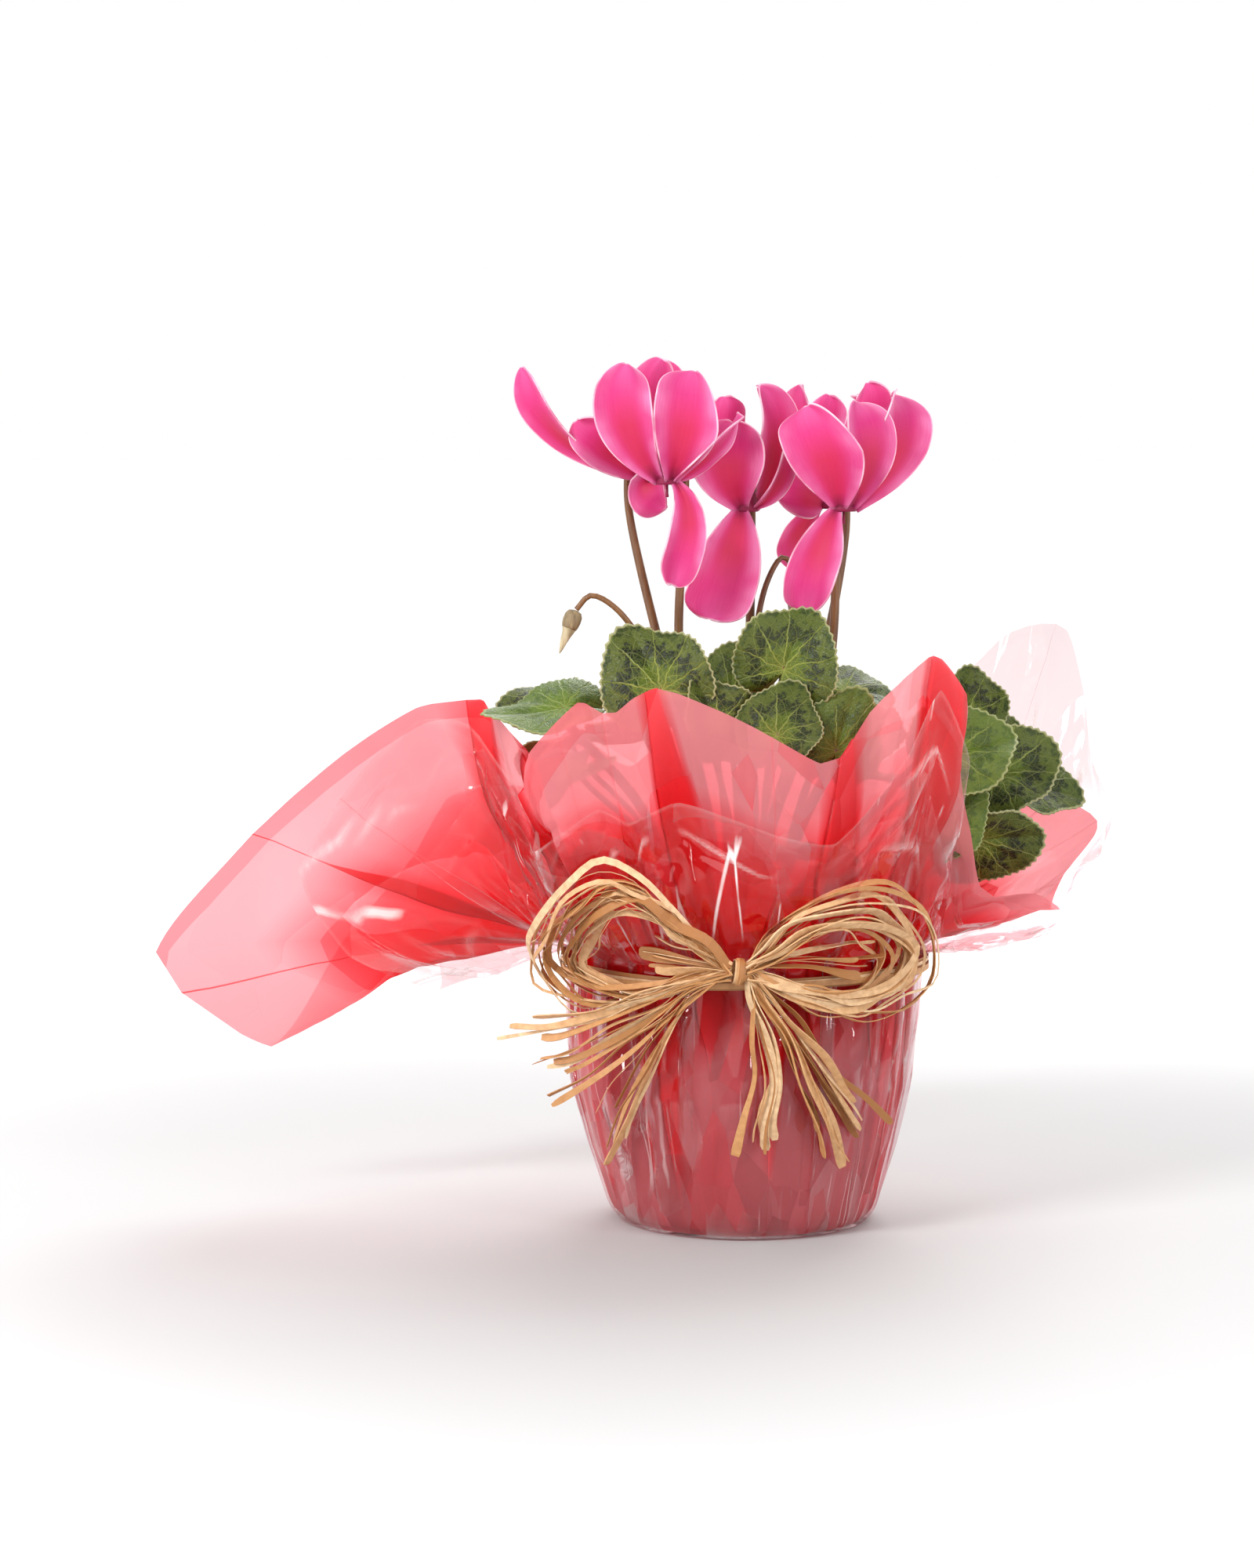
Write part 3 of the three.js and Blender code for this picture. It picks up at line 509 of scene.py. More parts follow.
@dataclass(frozen=True)
class PetalSkin(Finish):
    """Petal tissue, velvety with papillae: magenta that glows through, redder inside, pale at the margin."""

    name: str = "cyclamen_petal"
    throat: str = "#8E1048"
    heart: str = "#D52D60"
    blade: str = "#DE3B8E"
    tip: str = "#E968B0"
    pale: str = "#EE98CA"
    rim: str = "#FDE6F1"
    veins: str = "#C81A6E"
    cloud: float = 16.0  # how wide the pale patches are
    patch: float = 11.0  # how wide the gaps in the margin's line are
    through: float = 0.42  # the share of light that glows through

    def shade(self, add: Adder) -> Socket:
        """Colours along the petal, fine veins, and a pale line on the margin.

        Args:
            add: adds a node.

        Returns:
            The shader.
        """
        uv = add("UVMap")
        spot = add("TexCoord", out="Object")
        parts = add("SeparateXYZ", (uv,)).node.outputs
        stops = [(0.0, self.throat), (0.16, self.heart), (0.5, self.heart), (0.78, self.blade)]
        along = add("ValToRGB", (parts["Y"],), stops=[*stops, (1.0, self.tip)])
        aside = add("Math SUBTRACT", (parts["X"], 0.5))
        middle = add("Math ABSOLUTE", (aside,))
        outer = add("MapRange", (middle, 0.08, 0.4), **SMOOTH)
        inner = add("Mix", {0: outer, 6: along, 7: self.blade}, **MIX)
        cloud = add("TexNoise", {"Vector": spot, "Scale": per_size(self.cloud)})
        side = add("MapRange", (middle, 0.2, 0.5), **SMOOTH)
        paling = add("MapRange", (cloud, 0.38, 0.62, 0.2, 0.85))
        pale = add("Math MULTIPLY", (side, paling))
        flesh = add("Mix", {0: pale, 6: inner, 7: self.pale}, **MIX)
        spread = add("Mapping", {0: uv, "Scale": (26.0, 2.2, 1.0)}, vector_type="POINT")
        grain = {"Vector": spread, "Scale": 1.6, "Detail": 4.0, "Distortion": 0.4}
        veins = add("TexNoise", grain)
        vein_shade = add("MapRange", (veins, 0.35, 0.7, 0.0, 0.22))
        veined = add("Mix", {0: vein_shade, 6: flesh, 7: self.veins}, **MIX)
        margin = add("Attribute", out="Fac", attribute_name="margin")
        edge = add("MapRange", (margin, 0.45, 1.0), **SMOOTH)
        patchy = add("TexNoise", {"Vector": spot, "Scale": per_size(self.patch)})
        kept = add("MapRange", (patchy, 0.35, 0.6, 0.3, 1.0))
        rim = add("Math MULTIPLY", (edge, kept))
        tissue = add("Mix", {0: rim, 6: veined, 7: self.rim}, **MIX)
        normal = add("Bump", {"Strength": 0.35, "Distance": 0.4 * MM, "Height": veins})
        velvet = {"Roughness": 0.55, "Sheen Weight": 0.25, "Sheen Roughness": 0.4}
        return self.living(add, self.through, {"Base Color": tissue, "Normal": normal, **velvet})


@dataclass(frozen=True)
class LeafBlade(Finish):
    """The upper face of a leaf: leathery dark green with a lighter marbled zone, pale veins and margin."""

    name: str = "cyclamen_leaf_upper"
    deep: str = "#151F08"
    mid: str = "#2B3A0C"
    light: str = "#536616"
    silver: str = "#4E5A1E"
    vein: str = "#A2AA55"
    margin: str = "#B9B684"
    young: str = "#6F8F30"  # what a young leaf is tinted with
    rib: float = 0.628  # the angle between ribs, in radians
    branch: float = 0.45  # the angle between their branches
    through: float = 0.18

    def spokes(self, add: Adder, turn: Socket, reach: Socket, spacing: float, width: float) -> Socket:
        """Lines that run out from the joint: 1 on a line, 0 beyond its width.

        Args:
            add: adds a node.
            turn: the angle round the joint.
            reach: the distance from it.
            spacing: the angle from line to line.
            width: half a line's width, in leaf widths.

        Returns:
            The lines.
        """
        step = add("Math DIVIDE", (turn, spacing))
        part = add("Math FRACT", (step,))
        aside = add("Math SUBTRACT", (part, 0.5))
        away = add("Math ABSOLUTE", (aside,))
        angle = add("Math MULTIPLY", (away, spacing))
        arc = add("Math MULTIPLY", (angle, reach))
        return add("MapRange", (arc, 0.0, width, 1.0, 0.0))

    def net(self, add: Adder, place: Socket) -> tuple[Socket, Socket, Socket]:
        """The ribs, their branches that curve off both ways, and the fine net between them.

        Args:
            add: adds a node.
            place: places on the leaf, wandering a little.

        Returns:
            The lines drawn, how far the net's lines are, and the broad bands along the ribs.
        """
        parts = add("SeparateXYZ", (place,)).node.outputs
        x, y = (add("Math SUBTRACT", (parts[axis], 0.5)) for axis in ("X", "Y"))
        turn = add("Math ARCTAN2", (y, x))
        squares = [add("Math POWER", (side, 2.0)) for side in (x, y)]
        total = add("Math ADD", tuple(squares))
        reach = add("Math SQRT", (total,))
        grown = add("Math LOGARITHM", (reach, math.e))
        lean = add("Math MULTIPLY", (grown, 0.85))
        ribs = self.spokes(add, turn, reach, self.rib, 0.009)
        swung = (add(f"Math {way}", (turn, lean)) for way in ("ADD", "SUBTRACT"))
        either = add("Math MAXIMUM", tuple(self.spokes(add, way, reach, self.branch, 0.007) for way in swung))
        branches = add("Math MULTIPLY", (either, 0.55))
        away = add("TexVoronoi", {"Vector": place, "Scale": 34.0}, feature="DISTANCE_TO_EDGE")
        fine = add("MapRange", (away, 0.0, 0.1, 0.22, 0.0))
        strong = add("Math MAXIMUM", (ribs, branches))
        drawn = add("Math MAXIMUM", (strong, fine))
        return drawn, away, self.spokes(add, turn, reach, self.rib, 0.1)

    def shade(self, add: Adder) -> Socket:
        """A light middle, dark patches between the veins, a marbled outer band, and satin wax on top.

        Args:
            add: adds a node.

        Returns:
            The shader.
        """
        uv = add("UVMap")
        share = add("Attribute", out="Fac", attribute_name="share")
        wander = add("TexNoise", {"Vector": uv, "Scale": 9.0, "Detail": 3.0}, "Color")
        shifted = add("VectorMath SUBTRACT", (wander, (0.5, 0.5, 0.5)))
        scaled = add("VectorMath SCALE", {0: shifted, "Scale": 0.07})
        place = add("VectorMath ADD", (uv, scaled))
        drawn, away, broad = self.net(add, place)
        marbling = {"Vector": uv, "Scale": 13.0, "Detail": 5.0, "Roughness": 0.65}
        marble = add("TexNoise", marbling)
        shift = add("MapRange", (marble, 0.25, 0.75, -0.24, 0.24))
        lighter = add("Math MULTIPLY", (broad, -0.13))
        moved = add("Math ADD", (shift, lighter))
        zone = add("Math ADD", (share, moved))
        inner = [(0.0, self.light), (0.22, self.light), (0.4, self.mid), (0.5, self.deep), (0.6, self.deep)]
        outer = [(0.68, self.silver), (0.86, self.silver), (0.95, self.mid)]
        zones = add("ValToRGB", (zone,), stops=inner + outer)
        fade = add("MapRange", (share, 0.35, 0.95, 0.95, 0.4), **SMOOTH)
        lines = add("Math MULTIPLY", (drawn, fade))
        veined = add("Mix", {0: lines, 6: zones, 7: self.vein}, **MIX)
        edge = add("MapRange", (share, 0.955, 0.99, 0.0, 0.8), **SMOOTH)
        edged = add("Mix", {0: edge, 6: veined, 7: self.margin}, **MIX)
        tone = add("Attribute", out="Fac", attribute_name="tone")
        youth = add("Math POWER", (tone, 2.0))
        young = add("Math MULTIPLY", (youth, 0.45))
        tissue = add("Mix", {0: young, 6: edged, 7: self.young}, **MIX)
        puckers = add("Math MULTIPLY", (away, 0.6))
        height = add("Math SUBTRACT", (puckers, drawn))
        normal = add("Bump", {"Strength": 0.6, "Distance": 0.5 * MM, "Height": height})
        wax = {"Roughness": 0.42, "IOR": 1.4, "Normal": normal}
        return self.living(add, self.through, {"Base Color": tissue, **wax})


@dataclass(frozen=True)
class LeafUnder(Finish):
    """The under side of a leaf: pale matt green, flushed red along the veins."""

    name: str = "cyclamen_leaf_under"
    flesh: str = "#8FB55A"
    old: str = "#6F7F4E"  # an old leaf's green
    flush: str = "#8A5A45"
    through: float = 0.3

    def shade(self, add: Adder) -> Socket:
        """Pale green with flushed veins.

        Args:
            add: adds a node.

        Returns:
            The shader.
        """
        vein, tone = (add("Attribute", out="Fac", attribute_name=trait) for trait in ("vein", "tone"))
        uv = add("UVMap")
        cloud = add("TexNoise", {"Vector": uv, "Scale": 9.0, "Detail": 3.0})
        raised = add("Math ADD", (cloud, 0.3))
        mixed = add("Math MULTIPLY", (vein, raised))
        flesh = add("Mix", {0: tone, 6: self.flesh, 7: self.old}, **MIX)
        tissue = add("Mix", {0: mixed, 6: flesh, 7: self.flush}, **MIX)
        normal = add("Bump", {"Strength": 0.4, "Distance": 0.4 * MM, "Height": cloud})
        return self.living(add, self.through, {"Base Color": tissue, "Roughness": 0.62, "Normal": normal})


@dataclass(frozen=True)
class GrainedFinish(Finish):
    """An opaque natural or moulded skin: two tones in a stretched grain, with relief from the same grain."""

    low: str
    high: str
    grain: float
    stretch: float  # how many times longer than wide it is, along Z
    roughness: float
    relief: float
    contrast: float = 0.25  # how softly the tones meet

    def shade(self, add: Adder) -> Socket:
        """Grain stretched along Z.

        Args:
            add: adds a node.

        Returns:
            The shader.
        """
        spot = add("TexCoord", out="Object")
        size = {0: spot, "Scale": (1.0, 1.0, 1 / self.stretch)}
        drawn = add("Mapping", size, vector_type="POINT")
        noise = {"Vector": drawn, "Scale": per_size(self.grain), "Detail": 5.0, "Roughness": 0.6}
        grain = add("TexNoise", noise)
        spread = add("MapRange", (grain, 0.5 - self.contrast, 0.5 + self.contrast))
        tone = add("Mix", {0: spread, 6: self.low, 7: self.high}, **MIX)
        depth = self.grain * MM / 2
        normal = add("Bump", {"Strength": self.relief, "Distance": depth, "Height": grain})
        skin = {"Base Color": tone, "Roughness": self.roughness, "Normal": normal}
        return add("BsdfPrincipled", skin)


@dataclass(frozen=True)
class PaperFloor(Finish):
    """Matt white paper under the plant, a touch greyer near it: painted shadow round the plant, which also
    lets soft shadows show.
    """

    name: str = "matt_white_paper"
    # The grey near the plant is painted shadow; it fades to the far tone a metre out.
    near: str = "#BABABA"
    far: str = "#F9F9F9"  # its tone a metre away

    def shade(self, add: Adder) -> Socket:
        """Painted shadow: grey near the plant, fading to white a metre out.

        Args:
            add: adds a node.

        Returns:
            The shader.
        """
        spot = add("TexCoord", out="Object")
        away = add("VectorMath LENGTH", (spot,), "Value")
        share = add("MapRange", (away, 0.2, 1.0), **SMOOTH)
        paper = add("Mix", {0: share, 6: self.near, 7: self.far}, **MIX)
        return add("BsdfPrincipled", {"Base Color": paper, "Roughness": 0.9})


@dataclass(frozen=True)
class RaffiaFibre(Finish):
    """Dried palm-leaf fibre: straw tan, each strand its own tone, streaked along its length."""

    name: str = "natural_raffia"
    dark: str = "#B07440"
    straw: str = "#E0AA70"
    pale: str = "#F6D8AC"
    streak: float = 2.5
    through: float = 0.2

    def shade(self, add: Adder) -> Socket:
        """A tone for each strand and fine streaks.

        Args:
            add: adds a node.

        Returns:
            The shader.
        """
        spot = add("TexCoord", out="Object")
        streaks = add("TexNoise", {"Vector": spot, "Scale": per_size(self.streak), "Detail": 5.0})
        strand = add("Attribute", out="Fac", attribute_name="strand")
        stops = [(0.0, self.dark), (0.45, self.straw), (1.0, self.pale)]
        tone = add("ValToRGB", (strand,), stops=stops)
        fade = add("MapRange", (streaks, 0.35, 0.7, 0.0, 0.45))
        fibre = add("Mix", {0: fade, 6: tone, 7: self.dark}, **MIX)
        normal = add("Bump", {"Strength": 0.5, "Distance": 0.3 * MM, "Height": streaks})
        return self.living(add, self.through, {"Base Color": fibre, "Roughness": 0.5, "Normal": normal})


class Plain(Enum):
    """The plain natural and moulded finishes, each from its real material."""

    # Stem skin: brown-red over green, faintly streaked along the stem, satin.
    STALK = GrainedFinish("cyclamen_stem", "#54301A", "#7F572C", 2.4, 9.0, 0.42, 0.2)
    # Closed flower: rolled petals, beige with a green-brown cast.
    BUD = GrainedFinish("closed_bud", "#7C6C4A", "#C4B693", 2.0, 5.0, 0.5, 0.3)
    # Calyx: dark brown-green, finely downy.
    CALYX = GrainedFinish("calyx", "#5A4833", "#A08C66", 1.4, 6.0, 0.6, 0.3)
    # Thermoformed polypropylene: even terracotta brown with a slight pressing grain.
    POT = GrainedFinish("terracotta_brown_polypropylene", "#7A3527", "#86402F", 0.8, 1.0, 0.42, 0.08)
    # Peat compost: dark, matt and crumbly.
    PEAT = GrainedFinish("peat_compost", "#1E140D", "#4A3524", 1.5, 1.0, 0.95, 0.8, 0.2)
    # Corm skin: corky brown.
    CORK = GrainedFinish("corm_skin", "#4A3222", "#7C5A3E", 2.2, 1.0, 0.85, 0.7)


# ---- Pieces ----
def linked(name: str, data: bpy.types.ID) -> bpy.types.Object:
    """Puts an object in the scene.

    Args:
        name: the object's name.
        data: what it holds.

    Returns:
        The object.
    """
    thing = bpy.data.objects.new(name, data)
    bpy.context.scene.collection.objects.link(thing)
    return thing


def dressed(name: str, mesh: bpy.types.Mesh, finishes: list[Finish], slot: str, *nodes: str) -> None:
    """Makes a piece of the object, gives it its finishes, and lets it ride and stand for its nodes.

    Args:
        name: the piece's name.
        mesh: its mesh, in place.
        finishes: a finish for each of the mesh's slots.
        slot: not used.
        nodes: the nodes that the piece stands for.
    """
    piece = linked(name, mesh)
    for finish in finishes[len(mesh.materials) :]:
        mesh.materials.append(finish.material())
    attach(piece, BODY)
    if nodes:
        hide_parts(*nodes)
    LOG.info("%s: %d faces", name, len(mesh.polygons))


def settled(carrier: bpy.types.Object, name: str) -> bpy.types.Mesh:
    """Makes the result of an object's modifiers a plain mesh, and removes the object.

    Args:
        carrier: the object.
        name: the mesh's name.

    Returns:
        The mesh.
    """
    graph = bpy.context.evaluated_depsgraph_get()
    grown = carrier.evaluated_get(graph)
    mesh = bpy.data.meshes.new_from_object(grown, preserve_all_data_layers=True, depsgraph=graph)
    mesh.name = name
    bpy.data.objects.remove(carrier)
    return mesh


@dataclass
class Growth:
    """A Geometry Nodes tree that grows a piece from a curve or a mesh."""

    name: str
    sizes: dict[str, float]  # its named measures in metres, or in pieces for each square metre
    seed: int  # fixes what it draws
    tree: bpy.types.NodeTree = field(init=False)
    add: Adder = field(init=False)
    given: bpy.types.NodeOutputs = field(init=False)

    def __post_init__(self) -> None:
        """Starts the tree with its named inputs."""
        self.tree = bpy.data.node_groups.new(self.name, "GeometryNodeTree")
        self.add = adder(self.tree)
        face = self.tree.interface
        face.new_socket("Source", in_out="INPUT", socket_type="NodeSocketGeometry")
        for label, value in self.sizes.items():
            face.new_socket(label, in_out="INPUT", socket_type="NodeSocketFloat").default_value = value
        face.new_socket("Seed", in_out="INPUT", socket_type="NodeSocketInt").default_value = self.seed
        face.new_socket("Finish", in_out="INPUT", socket_type="NodeSocketMaterial")
        face.new_socket("Piece", in_out="OUTPUT", socket_type="NodeSocketGeometry")
        self.given = self.add("NodeGroupInput").node.outputs

    def close(self, shape: Socket) -> None:
        """Ends the tree in real faces with their finish.

        Args:
            shape: what the tree has made.
        """
        real = self.add("GeometryNodeRealizeInstances", (shape,))
        painted = self.add("GeometryNodeSetMaterial", {0: real, "Material": self.given["Finish"]})
        self.add("NodeGroupOutput", (painted,))

    def mesh(self, name: str, source: bpy.types.ID, finish: Finish) -> bpy.types.Mesh:
        """Grows the piece.

        Args:
            name: the mesh's name.
            source: the curve or mesh that it grows from.
            finish: its finish.

        Returns:
            The plain mesh.
        """
        carrier = linked(name, source)
        modifier = carrier.modifiers.new(self.name, "NODES")
        modifier.node_group = self.tree
        ids = {item.name: item.identifier for item in self.tree.interface.items_tree}
        modifier[ids["Finish"]] = finish.material()
        return settled(carrier, name)


@dataclass
class Strand:
    """One strand's course with its width and turn at each point."""

    path: Array
    radius: Array
    tilt: Array

    @staticmethod
    def tapered(points: list, count: int, places: list[float], widths: list[float]) -> Strand:
        """A round stem through the points, with a width at each place from 0 to 1."""
        taper = np.interp(np.linspace(0, 1, count), places, widths)
        return Strand(smooth_path(points, count), taper, np.zeros(count))


@dataclass
class Sweep:
    """A flat or round section swept along many strands at once."""

    name: str
    width: float  # the section's width, or its radius where it is round, on a strand of radius one
    height: float  # its height where it is flat
    sides: int = 4  # 4 for a flat strand, more for a round stem
    seed: int = 7

    def growth(self) -> Growth:
        """The tree that sweeps the section.

        Returns:
            The tree.
        """
        growth = Growth(self.name, {"Width": self.width * MM, "Height": self.height * MM}, self.seed)
        add, given = growth.add, growth.given
        chance = add("FunctionNodeRandomValue", {"Seed": given["Seed"]}, 1, data_type="FLOAT")
        numbered = add(
            "GeometryNodeStoreNamedAttribute",
            {"Geometry": given["Source"], "Name": "strand", "Value": chance},
            data_type="FLOAT",
            domain="CURVE",
        )
        if self.sides == 4:
            shape = {"Width": given["Width"], "Height": given["Height"]}
            section = add("GeometryNodeCurvePrimitiveQuadrilateral", shape)
        else:
            shape = {"Resolution": self.sides, "Radius": given["Width"]}
            section = add("GeometryNodeCurvePrimitiveCircle", shape)
        course = {"Curve": numbered, "Profile Curve": section, "Scale": add("GeometryNodeInputRadius")}
        swept = add("GeometryNodeCurveToMesh", {**course, "Fill Caps": True})
        growth.close(add("GeometryNodeSetShadeSmooth", {0: swept, "Shade Smooth": self.sides != 4}))
        return growth

    def mesh(self, name: str, strands: list[Strand], finish: Finish) -> bpy.types.Mesh:
        """The strands swept and made a plain mesh.

        Args:
            name: the mesh's name.
            strands: their courses.
            finish: their finish.

        Returns:
            The mesh.
        """
        curves = bpy.data.curves.new(name, "CURVE")
        curves.dimensions = "3D"
        curves.twist_mode = "MINIMUM"
        for strand in strands:
            spline = curves.splines.new("POLY")
            spline.points.add(len(strand.path) - 1)
            flat = np.hstack([strand.path * MM, np.ones((len(strand.path), 1))])
            spline.points.foreach_set("co", flat.ravel())
            spline.points.foreach_set("radius", strand.radius)
            spline.points.foreach_set("tilt", strand.tilt)
        return self.growth().mesh(name, curves, finish)


def dress_stems(name: str, radius: float, sides: int, strands: list[Strand], *nodes: str) -> None:
    """Makes a piece of round stems that stands for the nodes."""
    mesh = Sweep(name, radius, 0, sides).mesh(name, strands, Plain.STALK.value)
    dressed(name, mesh, [Plain.STALK.value], "stalk", *nodes)


# ---- Leaves ----
# Where each leaf's stem joins the blade, the ways its tip points and its face looks, its width, where its
# stem stands in the corm (azimuth, distance), and how much its margin waves.
LEAVES = [
    ((-31, -47, 197), (-0.45, 0, 0.9), (-0.1, -0.95, 0.3), 39, (326, 19), 2.2),
    ((-65, -30, 190), (-0.85, -0.25, 0.25), (-0.2, -0.5, 0.85), 38, (282, 19), 2.6),
    ((-70, 2, 190), (-0.9, 0.15, 0.2), (-0.3, -0.35, 0.9), 32, (265, 13), 1.6),
    ((-6, -17, 194), (0.15, 0.3, 0.9), (0.1, -0.8, 0.5), 30, (345, 13), 1.6),
    ((-11, -55, 184), (-0.1, -0.25, 0.9), (0.45, -0.8, 0.25), 28, (347, 19), 1.8),
    ((12, -43, 204), (0.4, 0, 0.9), (-0.05, -1, 0.12), 36, (20, 13), 1.4),
    ((37, 10, 193), (0.8, 0.2, 0.3), (0.15, -0.35, 0.93), 30, (135, 13), 1.6),
    ((9, -62, 182), (0.2, -0.1, 0.95), (-0.15, -0.9, 0.4), 31, (7, 19), 1.6),
    ((30, -56, 176), (0.3, 0, 0.9), (0.1, -0.9, 0.35), 32, (27, 19), 1.4),
    ((72, -24, 172), (0.9, -0.05, 0.35), (-0.1, -0.85, 0.5), 36, (46, 19), 1.5),
    ((82, 22, 182), (0.15, 0.1, 1), (0.2, -0.95, 0.2), 28, (105, 13), 1.2),
    ((92, 24, 170), (0.9, 0.2, 0.1), (0.1, -0.7, 0.7), 32, (136, 19), 1.4),
    ((93, 3, 163), (0.85, -0.15, 0.45), (-0.1, -0.75, 0.65), 35, (75, 13), 1.6),
    ((103, 18, 157), (0.95, 0.1, -0.05), (0.05, -0.6, 0.8), 32, (118, 19), 1.4),
    ((69, -30, 147), (0.55, -0.1, 0.7), (0.1, -0.9, 0.4), 30, (64, 19), 1.4),
    ((84, -11, 140), (0.9, 0.1, 0.15), (0.1, -0.75, -0.6), 34, (82, 19), 1.2),
    ((78, 14, 133), (0.95, 0.05, 0.15), (0, -0.7, 0.7), 30, (100, 19), 1.4),
    ((-60, -40, 169), (-0.6, -0.5, -0.05), (-0.3, -0.55, 0.8), 30, (304, 19), 1.8),
    ((-64, 34, 172), (-0.8, 0.5, 0.1), (-0.4, 0.35, 0.85), 36, (240, 19), 1.6),
    ((-38, 62, 178), (-0.5, 0.8, 0.2), (-0.25, 0.45, 0.85), 37, (210, 19), 1.8),
    ((4, 74, 170), (0.05, 0.95, 0.05), (0, 0.4, 0.9), 38, (184, 19), 1.6),
    ((44, 60, 178), (0.5, 0.8, 0.15), (0.25, 0.4, 0.88), 36, (160, 19), 1.8),
    ((20, 54, 130), (0.3, 0.8, 0.25), (0.1, 0.1, 0.98), 30, (178, 13), 1.6),
    ((-42, 44, 133), (-0.6, 0.6, 0.2), (-0.1, 0.1, 0.95), 33, (224, 13), 1.8),
    ((58, 38, 158), (0.7, 0.6, 0.1), (0.3, 0.3, 0.9), 34, (156, 13), 1.6),
    ((-54, -4, 134), (-0.9, -0.1, 0.2), (-0.1, -0.1, 0.95), 32, (290, 13), 1.8),
    ((-14, 34, 194), (-0.2, 0.7, 0.6), (-0.1, 0.6, 0.75), 34, (200, 13), 1.5),
]


